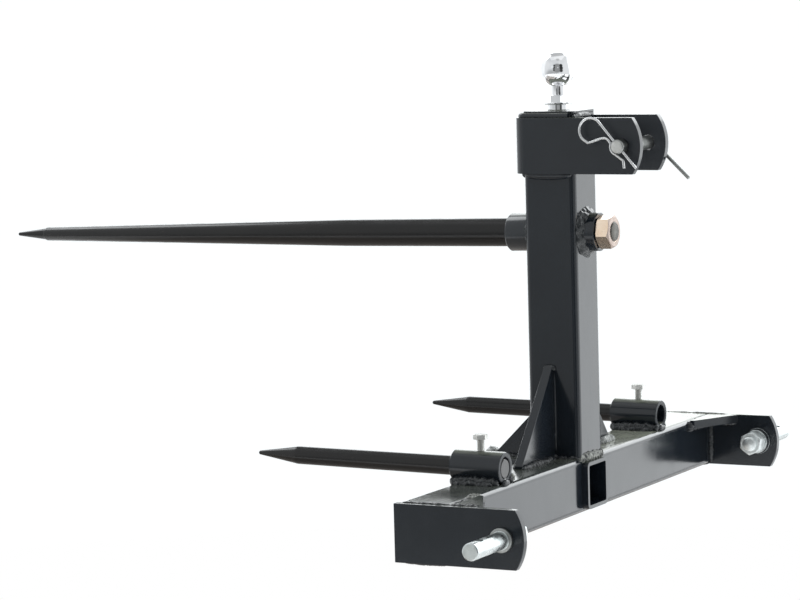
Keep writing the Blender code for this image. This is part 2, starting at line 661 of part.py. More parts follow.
def make_set_bolt(side, socket, axis, bolt_at):
    # The bolt stands on the spear; its own axis is the spear frame's local Y
    stand = axis_frame(side + "_set_bolt_axis", (0, 0, bolt_at), (-math.pi / 2, 0, 0))
    stand.parent = axis
    low = STABILIZER_DIAMETER / 2 + GAP
    high = low + SET_BOLT_LENGTH
    radius = SET_BOLT_DIAMETER / 2
    bevel = 0.0012
    profile = [(0, low), (radius - bevel, low), (radius, low + bevel),
               (radius, high + SET_BOLT_HEAD_HEIGHT / 2), (0, high + SET_BOLT_HEAD_HEIGHT / 2)]
    bolt = add_object(side + "_set_bolt", turned(profile, 24), "bright_zinc", stand)
    head = hex_body(side + "_bolt_head", SET_BOLT_HEAD_FLATS, high, high + SET_BOLT_HEAD_HEIGHT,
                    None, stand, chamfer_low=False)
    head.display_type = "WIRE"
    head.hide_render = True
    boolean(bolt, "UNION", head)
    drill(socket, side + "_set_bolt_drill", SET_BOLT_DIAMETER + 2 * GAP, 0, SOCKET_DIAMETER, stand, 24)


def make_lower_pins():
    for side, sign in SIDES:
        # Heights run outwards from the middle of the machine
        axis = axis_frame(side + "_pin_axis", (0, 0, 0), (0, sign * math.pi / 2, 0))
        washer_at = PLATE_INNER - GAP - FLAT_WASHER_THICKNESS
        lock_at = washer_at - GAP - LOCK_WASHER_THICKNESS
        nut_at = lock_at - GAP - PIN_NUT_HEIGHT
        stud_end = nut_at - PIN_THREAD_PAST_NUT
        collar_low = PLATE_OUTER + GAP
        collar_high = collar_low + PIN_COLLAR_THICKNESS
        end = PLATE_OUTER + PIN_REACH
        stud, shaft = PIN_THREAD_DIAMETER / 2, PIN_DIAMETER / 2
        collar = PIN_COLLAR_DIAMETER / 2
        bevel = 0.0012
        profile = [(0, stud_end), (stud - bevel, stud_end), (stud, stud_end + bevel),
                   (stud, collar_low), (collar - bevel, collar_low), (collar, collar_low + bevel),
                   (collar, collar_high - bevel), (collar - bevel, collar_high), (shaft, collar_high),
                   (shaft, end - PIN_END_CHAMFER), (shaft - PIN_END_CHAMFER, end), (0, end)]
        pin = add_object(side + "_lower_link_pin", turned(profile), "bright_zinc", axis)
        linch = drill(pin, side + "_linch_drill", LINCH_HOLE, -PIN_DIAMETER, PIN_DIAMETER, axis, 20)
        place(linch, (0, 0, end - LINCH_FROM_PIN_END), (0, math.pi / 2, 0))

        inner, outer = stud + GAP, FLAT_WASHER_DIAMETER / 2
        high = washer_at + FLAT_WASHER_THICKNESS
        profile = [(inner, washer_at), (outer, washer_at), (outer, high), (inner, high)]
        add_object(side + "_flat_washer", turned(profile, closed=True), "bright_zinc", axis)
        lock = split_washer(side + "_lock_washer", PIN_THREAD_DIAMETER + 2 * GAP, LOCK_WASHER_DIAMETER,
                            LOCK_WASHER_THICKNESS, "bright_zinc", axis)
        shift_with_cutters(lock, lock_at)
        nut = hex_body(side + "_pin_nut", PIN_NUT_FLATS, nut_at, nut_at + PIN_NUT_HEIGHT,
                       "bright_zinc", axis)
        drill(nut, side + "_pin_nut_drill", PIN_THREAD_DIAMETER + 2 * GAP,
              nut_at - 0.01, nut_at + PIN_NUT_HEIGHT + 0.01, axis)


def shift_with_cutters(item, height):
    item.location.z = height
    for modifier in item.modifiers:
        modifier.object.location.z = height


def main():
    clear_scene()
    make_receiver_tube()
    make_cross_beam()
    make_end_plates()
    make_corner_gussets()
    mast = make_mast()
    make_mast_gussets()
    make_top_link_bracket()
    make_top_link_pin()
    make_cap_plate()
    make_hitch_ball()
    make_main_spear(mast)
    make_stabilizers()
    make_lower_pins()


main()
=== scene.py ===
# Bale spear: paint, plated hardware, welds and the studio round them
from math import acos, atan, cos, pi, radians, sin, tan

import bmesh
import bpy
from mathutils import Matrix, Vector, noise


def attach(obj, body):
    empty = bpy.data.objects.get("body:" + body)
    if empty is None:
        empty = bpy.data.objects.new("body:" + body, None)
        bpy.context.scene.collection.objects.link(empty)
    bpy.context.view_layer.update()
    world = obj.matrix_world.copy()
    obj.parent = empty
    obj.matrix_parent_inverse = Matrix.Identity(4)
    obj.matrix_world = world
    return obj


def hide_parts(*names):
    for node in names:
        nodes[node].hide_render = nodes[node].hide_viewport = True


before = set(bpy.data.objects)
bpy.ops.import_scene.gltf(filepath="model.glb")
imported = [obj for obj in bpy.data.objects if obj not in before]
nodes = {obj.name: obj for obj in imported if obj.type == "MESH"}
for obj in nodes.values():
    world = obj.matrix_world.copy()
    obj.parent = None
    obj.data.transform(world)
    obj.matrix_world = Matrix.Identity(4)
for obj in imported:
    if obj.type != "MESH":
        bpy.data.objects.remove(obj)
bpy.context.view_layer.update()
print("frame loaded:", len(nodes), "nodes")


# Node helpers

def feed(tree, node, values):
    # A plain value is set on its socket, an output is linked to it
    for socket, value in values.items():
        if isinstance(value, bpy.types.NodeSocket):
            tree.links.new(value, node.inputs[socket])
        else:
            node.inputs[socket].default_value = value


def addNode(tree, kind, values, **settings):
    node = tree.nodes.new(kind)
    for key, value in settings.items():
        setattr(node, key, value)
    feed(tree, node, values)
    return node


def addNoise(tree, place, scale, detail=2.0, stretch=None):
    source = place.outputs["Object"]
    if stretch:
        source = addNode(tree, "ShaderNodeMapping", {"Vector": source, "Scale": stretch}).outputs["Vector"]
    values = {"Vector": source, "Scale": scale, "Detail": detail}
    return addNode(tree, "ShaderNodeTexNoise", values).outputs["Fac"]


def addRange(tree, value, fromLow, fromHigh, toLow=0.0, toHigh=1.0, **settings):
    values = {"Value": value, "From Min": fromLow, "From Max": fromHigh, "To Min": toLow, "To Max": toHigh}
    return addNode(tree, "ShaderNodeMapRange", values, **settings).outputs["Result"]


def addCloud(tree, place, scale, detail, fromLow, fromHigh, toLow=0.0, toHigh=1.0, stretch=None):
    return addRange(tree, addNoise(tree, place, scale, detail, stretch), fromLow, fromHigh, toLow, toHigh)


def addRough(tree, place, scale, detail, tune):
    return addCloud(tree, place, scale, detail, 0.35, 0.65, tune["roughLow"], tune["roughHigh"])


def addMath(tree, operation, first, second=None):
    values = {0: first} if second is None else {0: first, 1: second}
    return addNode(tree, "ShaderNodeMath", values, operation=operation).outputs["Value"]


def addBlend(tree, factor, first, second):
    values = {"Factor": factor}
    for socket, value in ((6, first), (7, second)):
        values[socket] = (*value, 1.0) if isinstance(value, tuple) else value
    return addNode(tree, "ShaderNodeMix", values, data_type="RGBA").outputs[2]


def addBump(tree, shader, *heights):
    # Each height is a value and its distance, and each bump stands on the one before
    before = {}
    for value, distance in heights:
        values = {"Strength": 1.0, "Distance": distance, "Height": value, **before}
        before = {"Normal": addNode(tree, "ShaderNodeBump", values).outputs["Normal"]}
    feed(tree, shader, before)


def splitAxes(tree, vector):
    return addNode(tree, "ShaderNodeSeparateXYZ", {"Vector": vector}).outputs


# Finishes: each kind has a function, and each material one dictionary of tunables

framePaint = {
    "deep": (0.0076, 0.0108, 0.0152), "pale": (0.0106, 0.0145, 0.0196), "gloss": 1.52,
    "roughLow": 0.12, "roughHigh": 0.18,
    "peelScale": 420.0, "peelDepth": 0.00003, "waveScale": 22.0, "waveDepth": 0.00025,
    "dust": (0.34, 0.36, 0.29), "dustAmount": 0.85, "dustRough": 0.1,
    "dustFrom": -0.08, "dustTo": 0.08, "dustLeast": 0.24, "dustAbove": 0.65,
}
earPaint = {**framePaint, "roughLow": 0.34, "roughHigh": 0.44}
framePaints = {
    "framePaint": framePaint,
    "endPaint": {**framePaint, "gloss": 1.36, "roughLow": 0.3, "roughHigh": 0.42, "dustAmount": 0.0},
    "earPaint": earPaint,
    # Painted fill light: a paler paint for the inner faces of the ears, where shade falls
    "paintedFillLight": {
        **earPaint, "deep": (0.034, 0.038, 0.044), "pale": (0.04, 0.045, 0.052), "dustAmount": 0.0},
}


def makeFramePaint(tree, shader, place, tune):
    colour = addBlend(tree, addCloud(tree, place, 9.0, 3.0, 0.35, 0.65), tune["deep"], tune["pale"])
    facing, at = splitAxes(tree, place.outputs["Normal"]), splitAxes(tree, place.outputs["Object"])
    upward = addRange(tree, facing["Z"], 0.78, 0.995)
    patch = addCloud(tree, place, 24.0, 4.0, 0.3, 0.66, 0.55, 1.0)
    dust = addMath(tree, "MULTIPLY", addMath(tree, "MULTIPLY", upward, patch), tune["dustAmount"])
    # On the beam the dust lies thinner right of the mast, and none lies inside the receiver
    spread = addRange(tree, at["X"], tune["dustFrom"], tune["dustTo"], 1.0, tune["dustLeast"])
    above = addRange(tree, at["Z"], 0.045, 0.055, 0.0, tune["dustAbove"])
    dust = addMath(tree, "MULTIPLY", dust, addMath(tree, "MAXIMUM", spread, above))
    dust = addMath(tree, "MULTIPLY", dust, addRange(tree, at["Z"], 0.03, 0.034))
    rough = addCloud(tree, place, 17.0, 4.0, 0.35, 0.68, tune["roughLow"], tune["roughHigh"])
    scuff = addCloud(tree, place, 90.0, 3.0, 0.6, 0.75, 0.0, 0.1, (1.0, 1.0, 0.12))
    rough = addMath(tree, "ADD", rough, scuff)
    feed(tree, shader, {
        "Base Color": addBlend(tree, dust, colour, tune["dust"]), "IOR": tune["gloss"],
        "Roughness": addMath(tree, "ADD", rough, addMath(tree, "MULTIPLY", dust, tune["dustRough"]))})
    addBump(tree, shader, (addNoise(tree, place, tune["waveScale"], 1.0), tune["waveDepth"]),
            (addNoise(tree, place, tune["peelScale"], 1.0), tune["peelDepth"]))


weldPaint = {
    "deep": (0.007, 0.0092, 0.0118), "pale": (0.042, 0.046, 0.049), "gloss": 1.52,
    "roughLow": 0.16, "roughHigh": 0.34, "lumpScale": 140.0, "lumpDepth": 0.0005,
    "grainScale": 480.0, "grainDepth": 0.0001,
}
weldPaints = {
    "weldPaint": weldPaint,
    # Dust and painted highlight: a light grey weld colour for dust on the weld and for the glints off its
    # glossy lumps
    "dustAndHighlightWeld": {**weldPaint, "deep": (0.024, 0.027, 0.026), "pale": (0.31, 0.32, 0.29)},
    # Painted highlight: a near-white colour standing in for the glints of glossy black weld catching the
    # bright rear
    "paintedHighlightWeld": {**weldPaint, "deep": (0.16, 0.17, 0.165), "pale": (0.62, 0.64, 0.62)},
}


def makeWeldPaint(tree, shader, place, tune):
    patch = addCloud(tree, place, 260.0, 3.0, 0.38, 0.66)
    feed(tree, shader, {
        "Base Color": addBlend(tree, patch, tune["deep"], tune["pale"]), "IOR": tune["gloss"],
        "Roughness": addRough(tree, place, 230.0, 2.0, tune)})
    addBump(tree, shader, (addNoise(tree, place, tune["lumpScale"]), tune["lumpDepth"]),
            (addNoise(tree, place, tune["grainScale"]), tune["grainDepth"]))


spearPaint = {
    "deep": (0.0035, 0.0033, 0.0034), "pale": (0.0085, 0.007, 0.0065), "rub": (0.028, 0.024, 0.021),
    "roughLow": 0.15, "roughHigh": 0.24, "gloss": 1.44,
    "forgeScale": 50.0, "forgeDepth": 0.00022, "grainScale": 650.0, "grainDepth": 0.00005,
}


def makeSpearPaint(tree, shader, place, tune):
    # Forged bar under black paint: long drawn marks and small rubbed spots
    drawn = addCloud(tree, place, 60.0, 4.0, 0.35, 0.66, stretch=(1.0, 0.1, 1.0))
    rubbed = addCloud(tree, place, 220.0, 4.0, 0.68, 0.78, stretch=(1.0, 0.25, 1.0))
    colour = addBlend(tree, drawn, tune["deep"], tune["pale"])
    feed(tree, shader, {
        "Base Color": addBlend(tree, rubbed, colour, tune["rub"]), "IOR": tune["gloss"],
        "Roughness": addRough(tree, place, 45.0, 3.0, tune)})
    forge = addNoise(tree, place, tune["forgeScale"], 2.0, (1.0, 0.3, 1.0))
    grain = addNoise(tree, place, tune["grainScale"], 1.0)
    addBump(tree, shader, (forge, tune["forgeDepth"]), (grain, tune["grainDepth"]))


platingKeys = ("bright", "dull", "stain", "roughLow", "roughHigh", "toolScale", "toolDepth")
platings = {name: dict(zip(platingKeys, row)) for name, row in {
    "zincPlate": ((0.64, 0.67, 0.67), (0.5, 0.54, 0.54), (0.36, 0.38, 0.37), 0.24, 0.38, 700.0, 0.000012),
    "nutZinc": ((0.86, 0.9, 0.9), (0.72, 0.76, 0.76), (0.54, 0.57, 0.57), 0.34, 0.5, 500.0, 0.00002),
    "pinEnd": ((0.6, 0.63, 0.62), (0.5, 0.53, 0.52), (0.36, 0.37, 0.36), 0.5, 0.66, 500.0, 0.00002),
    "matteZinc": ((0.68, 0.68, 0.66), (0.57, 0.57, 0.55), (0.42, 0.42, 0.4), 0.48, 0.62, 500.0, 0.00003),
    "darkZinc": ((0.4, 0.41, 0.4), (0.31, 0.32, 0.31), (0.22, 0.22, 0.21), 0.3, 0.44, 500.0, 0.00003),
    "goldPlate": ((0.97, 0.79, 0.62), (0.92, 0.7, 0.52), (0.6, 0.52, 0.4), 0.15, 0.25, 700.0, 0.00002),
    "goldFace": ((0.4, 0.335, 0.3), (0.34, 0.275, 0.24), (0.28, 0.22, 0.2), 0.34, 0.46, 700.0, 0.00002),
    "rawSteel": (
        (0.122, 0.118, 0.108), (0.094, 0.091, 0.083), (0.06, 0.058, 0.054), 0.38, 0.52, 500.0, 0.00002),
    "clipWire": ((0.8, 0.8, 0.8), (0.66, 0.67, 0.68), (0.42, 0.42, 0.42), 0.22, 0.32, 500.0, 0.00002),
}.items()}


def makePlating(tree, shader, place, tune):
    cloud = addCloud(tree, place, 80.0, 2.0, 0.3, 0.7)
    spots = addCloud(tree, place, 420.0, 3.0, 0.62, 0.8)
    colour = addBlend(tree, cloud, tune["bright"], tune["dull"])
    feed(tree, shader, {
        "Base Color": addBlend(tree, spots, colour, tune["stain"]), "Metallic": 1.0,
        "Roughness": addRough(tree, place, 160.0, 2.0, tune)})
    addBump(tree, shader, (addNoise(tree, place, tune["toolScale"]), tune["toolDepth"]))


chromePlate = {
    "bright": (0.9, 0.9, 0.91), "smear": (0.76, 0.77, 0.79), "roughLow": 0.03, "roughHigh": 0.08,
    "waveScale": 120.0, "waveDepth": 0.00003,
}


def makeChrome(tree, shader, place, tune):
    smear = addCloud(tree, place, 70.0, 3.0, 0.45, 0.7)
    feed(tree, shader, {
        "Base Color": addBlend(tree, smear, tune["bright"], tune["smear"]), "Metallic": 1.0,
        "Roughness": addRange(tree, smear, 0.0, 1.0, tune["roughLow"], tune["roughHigh"])})
    addBump(tree, shader, (addNoise(tree, place, tune["waveScale"], 1.0), tune["waveDepth"]))


def addFinish(name):
    finish = bpy.data.materials.new(name)
    finish.use_nodes = True
    tree = finish.node_tree
    return finish, tree, tree.nodes["Principled BSDF"], addNode(tree, "ShaderNodeTexCoord", {})


finishes = {}
for make, tunes in ((makeFramePaint, framePaints), (makeWeldPaint, weldPaints),
                    (makeSpearPaint, {"spearPaint": spearPaint}), (makePlating, platings),
                    (makeChrome, {"chromePlate": chromePlate})):
    for name, tune in tunes.items():
        finishes[name], *parts = addFinish(name)
        make(*parts, tune)
print("finishes made:", len(finishes))


# Mesh helpers

def addObject(name, data):
    piece = bpy.data.objects.new(name, data)
    bpy.context.scene.collection.objects.link(piece)
    return piece


def meshFrom(name, bm):
    mesh = bpy.data.meshes.new(name)
    bm.to_mesh(mesh)
    bm.free()
    return mesh


def setShading(mesh, finish, sharp):
    mesh.materials.clear()
    mesh.materials.append(finish)
    mesh.shade_smooth()
    if sharp:
        mesh.set_sharp_from_angle(angle=radians(sharp))


def skin(bm, rows, joined=False):
    # Each row is a closed ring of points, or one point where the shape closes
    laid = [[bm.verts.new(point) for point in row] for row in rows]
    pairs = list(zip(laid, laid[1:]))
    if joined:
        pairs.append((laid[-1], laid[0]))
    for low, high in pairs:
        count = max(len(low), len(high))
        for index in range(count):
            after = (index + 1) % count
            if len(low) == 1:
                bm.faces.new((low[0], high[after], high[index]))
            elif len(high) == 1:
                bm.faces.new((low[index], low[after], high[0]))
            else:
                bm.faces.new((low[index], low[after], high[after], high[index]))


def anglesOf(steps):
    return [2 * pi * step / steps for step in range(steps)]


def turnedRows(profile, steps):
    turn = anglesOf(steps)
    return [[(radius * cos(a), radius * sin(a), height) for a in turn] if radius > 0
            else [(0.0, 0.0, height)] for radius, height in profile]


def rodProfile(radius, low, high, edge):
    return [(0, low), (radius - edge, low), (radius, low + edge),
            (radius, high - edge), (radius - edge, high), (0, high)]


def softened(profile, reach, steps=3):
    # Rounds the inner corners of an open profile
    result = [profile[0]]
    for before, here, after in zip(profile, profile[1:], profile[2:]):
        here, inward, outward = Vector(here), Vector(before), Vector(after)
        into, out = inward - here, outward - here
        if into.length < 1e-7 or out.length < 1e-7 or here.x <= 0 or into.angle(out) > radians(165):
            result.append(tuple(here))
            continue
        cut = min(reach, 0.45 * into.length, 0.45 * out.length)
        start, end = here + into.normalized() * cut, here + out.normalized() * cut
        for step in range(steps + 1):
            t = step / steps
            result.append(tuple(start * (1 - t) ** 2 + here * 2 * t * (1 - t) + end * t ** 2))
    result.append(profile[-1])
    return result


def shownPiece(name, mesh, look, standsFor=None, sharp=40):
    piece = addObject(name, mesh)
    setShading(mesh, finishes[look], sharp)
    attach(piece, "root")
    if standsFor:
        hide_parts(standsFor)
    return piece


def finishPiece(name, bm, look, standsFor=None, sharp=40, place=None):
    if place is not None:
        bm.transform(place)
    bmesh.ops.remove_doubles(bm, verts=bm.verts, dist=1e-7)
    bmesh.ops.recalc_face_normals(bm, faces=bm.faces)
    return shownPiece(name, meshFrom(name, bm), look, standsFor, sharp)


def skinnedPiece(name, rows, look, standsFor=None, sharp=40, place=None, joined=False):
    bm = bmesh.new()
    skin(bm, rows, joined)
    return finishPiece(name, bm, look, standsFor, sharp, place)


def turnedPiece(name, profile, place, look, standsFor, steps=96, joined=False, edge=0.0):
    rows = turnedRows(softened(profile, edge) if edge else profile, steps)
    return skinnedPiece(name, rows, look, standsFor, 40, place, joined)


def recoat(piece, look, chosen):
    # Gives the faces that pass the test another finish
    piece.data.materials.append(finishes[look])
    for face in piece.data.polygons:
        if chosen(face):
            face.material_index = len(piece.data.materials) - 1


def bakeModifiers(piece):
    # Turns the live modifiers into a plain mesh
    depsgraph = bpy.context.evaluated_depsgraph_get()
    mesh = bpy.data.meshes.new_from_object(piece.evaluated_get(depsgraph), depsgraph=depsgraph)
    piece.modifiers.clear()
    return mesh


def drill(piece, radius, reach, place, steps=48):
    # Takes a round hole out of the piece
    bm = bmesh.new()
    skin(bm, turnedRows([(0, -reach), (radius, -reach), (radius, reach), (0, reach)], steps))
    bm.transform(place)
    bmesh.ops.recalc_face_normals(bm, faces=bm.faces)
    rod = addObject("drillRod", meshFrom("drillRod", bm))
    change = piece.modifiers.new("cut", "BOOLEAN")
    change.operation = "DIFFERENCE"
    change.solver = "EXACT"
    change.object = rod
    old = piece.data
    piece.data = bakeModifiers(piece)
    setShading(piece.data, old.materials[0], 40)
    bpy.data.meshes.remove(old)
    bpy.data.objects.remove(rod, do_unlink=True)


def hexRows(flats, low, high, bore, cutLow=True):
    # A hexagon whose corners run out on a cone, as on a turned nut
    face, side, lip = 0.475 * flats, pi / 3, 0.0008
    turn = anglesOf(72)
    edge = [flats / 2 / cos((angle % side) - side / 2) for angle in turn]
    cut = [max(0.0, (r - face) * tan(radians(30))) for r in edge]

    def fixed(radius, height):
        return [(radius * cos(a), radius * sin(a), height) for a in turn]

    def corners(height, drop):
        return [(r * cos(a), r * sin(a), height + drop * c) for r, a, c in zip(edge, turn, cut)]

    rows = [fixed(face, low), corners(low, 1 if cutLow else 0), corners(high, -1), fixed(face, high)]
    if not bore:
        return [[(0.0, 0.0, low)]] + rows + [[(0.0, 0.0, high)]]
    return [fixed(bore, low + lip), fixed(bore + lip, low)] + rows + [
        fixed(bore + lip, high), fixed(bore, high - lip)]


def threadRows(radius, pitch, low, high, lowCut, steps=40):
    # A right-hand thread whose lower end runs out on a chamfer
    depth = 0.6 * pitch
    rowsPerTurn = 8
    count = max(2, round((high - low) / pitch * rowsPerTurn))
    rows = [[(0.0, 0.0, low)]]
    for row in range(count + 1):
        height = low + (high - low) * row / count
        ring = []
        for step in range(steps):
            share = (height / pitch - step / steps) % 1.0
            rise = min(1.0, max(0.0, 1.9 * (1 - abs(2 * share - 1)) - 0.45))
            here = min(radius - depth * (1 - rise), radius - lowCut + (height - low))
            angle = 2 * pi * step / steps
            ring.append((here * cos(angle), here * sin(angle), height))
        rows.append(ring)
    rows.append([(0.0, 0.0, high)])
    return rows


def paintedCopy(node, edge):
    # A merged copy of a solid, with softened edges, stands for it
    first, *rest = node.split("_")
    name = first + "".join(word.title() for word in rest)
    bm = bmesh.new()
    bm.from_mesh(nodes[node].data)
    bmesh.ops.remove_doubles(bm, verts=bm.verts, dist=1e-6)
    bmesh.ops.dissolve_limit(
        bm, angle_limit=radians(0.4), use_dissolve_boundaries=False,
        verts=bm.verts, edges=bm.edges)
    piece = shownPiece(name, meshFrom(name, bm), "framePaint", node, None if edge else 30)
    if edge:
        bevel = piece.modifiers.new("softEdges", "BEVEL")
        bevel.width = edge
        bevel.segments = 3
        bevel.limit_method = "ANGLE"
        bevel.angle_limit = radians(38)
    weighted = piece.modifiers.new("flatFaces", "WEIGHTED_NORMAL")
    weighted.keep_sharp = not edge
    weighted.weight = 100
    return piece


# The welded frame: tubes, plates and gussets, each with the width of its softened edges

weldedParts = {
    "cross_beam": 0.0, "mast_tube": 0.0, "receiver_tube": 0.0007,
    "left_end_plate": 0.0011, "right_end_plate": 0.0011,
    "left_corner_gusset": 0.0009, "right_corner_gusset": 0.0009,
    "left_mast_gusset": 0.0009, "right_mast_gusset": 0.0009, "front_mast_gusset": 0.0009,
    "top_link_bracket": 0.0011, "cap_plate": 0.001,
}
dressed = {node: paintedCopy(node, edge) for node, edge in weldedParts.items()}
# The flat sides of the bracket's ears are less glossy, and their inner sides take a paler paint that is
# painted fill light, lifting the shade between the ears
for look, low, high in (("earPaint", 0.045, 1.0), ("paintedFillLight", 0.0, 0.04)):
    recoat(dressed["top_link_bracket"], look,
           lambda face: abs(face.normal.x) > 0.99 and low < abs(face.center.x) < high)
print("welded frame dressed:", len(weldedParts), "pieces")


# Places shared by the round pieces

mastMiddle = -0.1125
beamTop = 0.0375
gap = 0.0003
spearFrame = Matrix.Translation((0, mastMiddle, 0.341)) @ Matrix.Rotation(radians(91.0), 4, "X")
sides = (("left", -1), ("right", 1))


def socketFrame(sign):
    half, outer = stabilizer["socketHalf"], stabilizer["socketOuter"]
    lift = outer + gap + half * sin(radians(0.7))
    place = Matrix.Translation((sign * 0.255, -0.0805 - half, beamTop + lift))
    return place @ Matrix.Rotation(radians(89.3), 4, "X")


# Main spear, its sleeve and its nut

mainSpear = {
    "front": 0.0745, "rear": -0.0585, "knee": 0.3295, "shoulder": 0.8325, "tip": 0.8845,
    "root": 0.0195, "kneeRadius": 0.01865, "shoulderRadius": 0.00975, "pointRadius": 0.00825,
    "tipRadius": 0.0026, "thread": 0.014, "pitch": 0.003, "threadPast": 0.0015,
}
spearSleeve = {"outer": 0.026, "bore": 0.0199, "chamfer": 0.003, "rearBore": 0.0159}
spearNut = {"flats": 0.041, "height": 0.0195, "bore": 0.0128, "turn": -12.0}


def pointProfile(radius, start, tip, ball, steps=7):
    # A drawn point: a short step down from the shoulder, a cone and a rounded tip
    slope = atan((radius - ball) / (tip - start))
    profile = [(radius + 0.0003, start + 0.0026), (radius, start + 0.004)]
    for step in range(steps):
        angle = slope + (pi / 2 - slope) * step / steps
        profile.append((ball * cos(angle), tip - ball + ball * sin(angle)))
    return profile + [(0, tip)]


def makeMainSpear(tune):
    rear = tune["rear"]
    nutFront = rear - gap
    nutRear = nutFront - spearNut["height"]
    profile = [(0, rear + 0.0005), (tune["thread"] - 0.002, rear + 0.0005), (0.0155, rear + 0.003),
               (tune["root"], tune["front"]), (tune["kneeRadius"], tune["knee"]),
               (tune["shoulderRadius"], tune["shoulder"])]
    profile += pointProfile(tune["pointRadius"], tune["shoulder"], tune["tip"], tune["tipRadius"])
    turnedPiece("mainSpear", profile, spearFrame, "spearPaint", "main_spear")
    rows = threadRows(tune["thread"], tune["pitch"], nutRear - tune["threadPast"], rear + 0.001, 0.0022, 72)
    skinnedPiece("mainSpearThread", rows, "rawSteel", None, 55, spearFrame)
    rows = hexRows(spearNut["flats"], nutRear, nutFront, spearNut["bore"])
    turn = Matrix.Rotation(radians(spearNut["turn"]), 4, "Z")
    nut = skinnedPiece("spearNut", rows, "goldPlate", "spear_nut", 25, spearFrame @ turn, True)
    recoat(nut, "goldFace", lambda face: face.normal.y > 0.7)


def makeSpearSleeve(tune):
    rear, front, cut, outer = mainSpear["rear"], mainSpear["front"], tune["chamfer"], tune["outer"]
    profile = [(tune["rearBore"], rear), (outer - 0.001, rear), (outer, rear + 0.001), (outer, front - cut),
               (outer - 0.45 * cut, front - 0.3 * cut), (outer - cut, front), (tune["bore"], front)]
    turnedPiece("spearSleeve", profile, spearFrame, "framePaint", "spear_sleeve", 128, True)


makeMainSpear(mainSpear)
makeSpearSleeve(spearSleeve)
print("main spear made")


# Stabilizer spears, sockets and set bolts

stabilizer = {
    "socketHalf": 0.03575, "socketOuter": 0.0205, "bore": 0.014, "edge": 0.0009,
    "radius": 0.0127, "reach": 0.2945, "point": 0.0625, "endRadius": 0.0119, "pointRadius": 0.0115,
    "tipRadius": 0.0028, "recess": {"left": 0.012, "right": 0.0005}, "boltAt": -0.00075,
}
setBolt = {
    "thread": 0.005, "pitch": 0.0015, "length": 0.0235, "flats": 0.017, "head": 0.0064, "low": 0.013,
}


def makeStabilizer(side, sign, tune):
    place = socketFrame(sign)
    half, bore, radius, edge = (tune[key] for key in ("socketHalf", "bore", "radius", "edge"))
    profile = [(bore, edge - half), (bore + edge, -half)]
    profile += rodProfile(tune["socketOuter"], -half, half, edge)[1:-1]
    profile += [(bore + edge, half), (bore, half - edge)]
    socket = turnedPiece(side + "Socket", profile, place, "framePaint", side + "_socket", 96, True)
    recoat(socket, "endPaint", lambda face: face.normal.y > 0.97)
    # The set bolt presses the spear down on the floor of the bore
    place = place @ Matrix.Translation((0, gap + radius - bore, 0))
    rear = -half + tune["recess"][side]
    tip = half + tune["reach"]
    shoulder = tip - tune["point"]
    profile = [(0, rear), (radius - edge, rear), (radius, rear + edge),
               (radius, half + 0.01), (tune["endRadius"], shoulder)]
    profile += pointProfile(tune["pointRadius"], shoulder, tip, tune["tipRadius"])
    turnedPiece(side + "StabilizerSpear", profile, place, "spearPaint", side + "_stabilizer_spear")
    makeSetBolt(side, place, setBolt)


def makeSetBolt(side, socket, tune):
    stand = socket @ Matrix.Translation((0, 0, stabilizer["boltAt"])) @ Matrix.Rotation(-pi / 2, 4, "X")
    high = tune["low"] + tune["length"]
    bm = bmesh.new()
    skin(bm, threadRows(tune["thread"], tune["pitch"], tune["low"], high + 0.0002, 0.001))
    skin(bm, hexRows(tune["flats"], high, high + tune["head"], 0, False))
    finishPiece(side + "SetBolt", bm, "matteZinc", side + "_set_bolt", 30, stand)


for side, sign in sides:
    makeStabilizer(side, sign, stabilizer)
print("stabilizer spears made")


# Lower link pins with their nuts and washers

lowerPin = {
    "shaft": 0.0111, "stud": 0.01025, "collar": 0.0155, "collarLow": 0.4343, "collarHigh": 0.4403,
    "end": 0.523, "chamfer": 0.002, "linch": 0.0055, "linchAt": 0.499, "pitch": 0.0018,
    "flatWasher": (0.0106, 0.019, 0.4207, 0.4237), "lockWasher": (0.0106, 0.017, 0.4144, 0.4204),
    "nutFlats": 0.03, "nutLow": 0.3916, "nutHigh": 0.4141, "nutBore": 0.0092, "nutTurn": 6.5,
    "studEnd": 0.3866,
}


def splitRing(name, inner, outer, low, high, place, node, look):
    # A spring washer: an open ring with its two ends apart
    steps, edge, opening = 80, 0.0006, radians(9)
    start = radians(205) + opening / 2
    sweep = 2 * pi - opening
    section = ((inner, low), (outer - edge, low), (outer, low + edge),
               (outer, high - edge), (outer - edge, high), (inner, high))
    bm = bmesh.new()
    rings = []
    for step in range(steps + 1):
        angle = start + sweep * step / steps
        rings.append([bm.verts.new((r * cos(angle), r * sin(angle), h)) for r, h in section])
    for before, after in zip(rings, rings[1:]):
        for index in range(6):
            turn = (index + 1) % 6
            bm.faces.new((before[index], before[turn], after[turn], after[index]))
    bm.faces.new(rings[0])
    bm.faces.new(rings[-1][::-1])
    finishPiece(name, bm, look, node, 35, place)


def isEndFace(face, end):
    return abs(face.normal.x) > 0.98 and abs(face.center.x) > end - 0.001


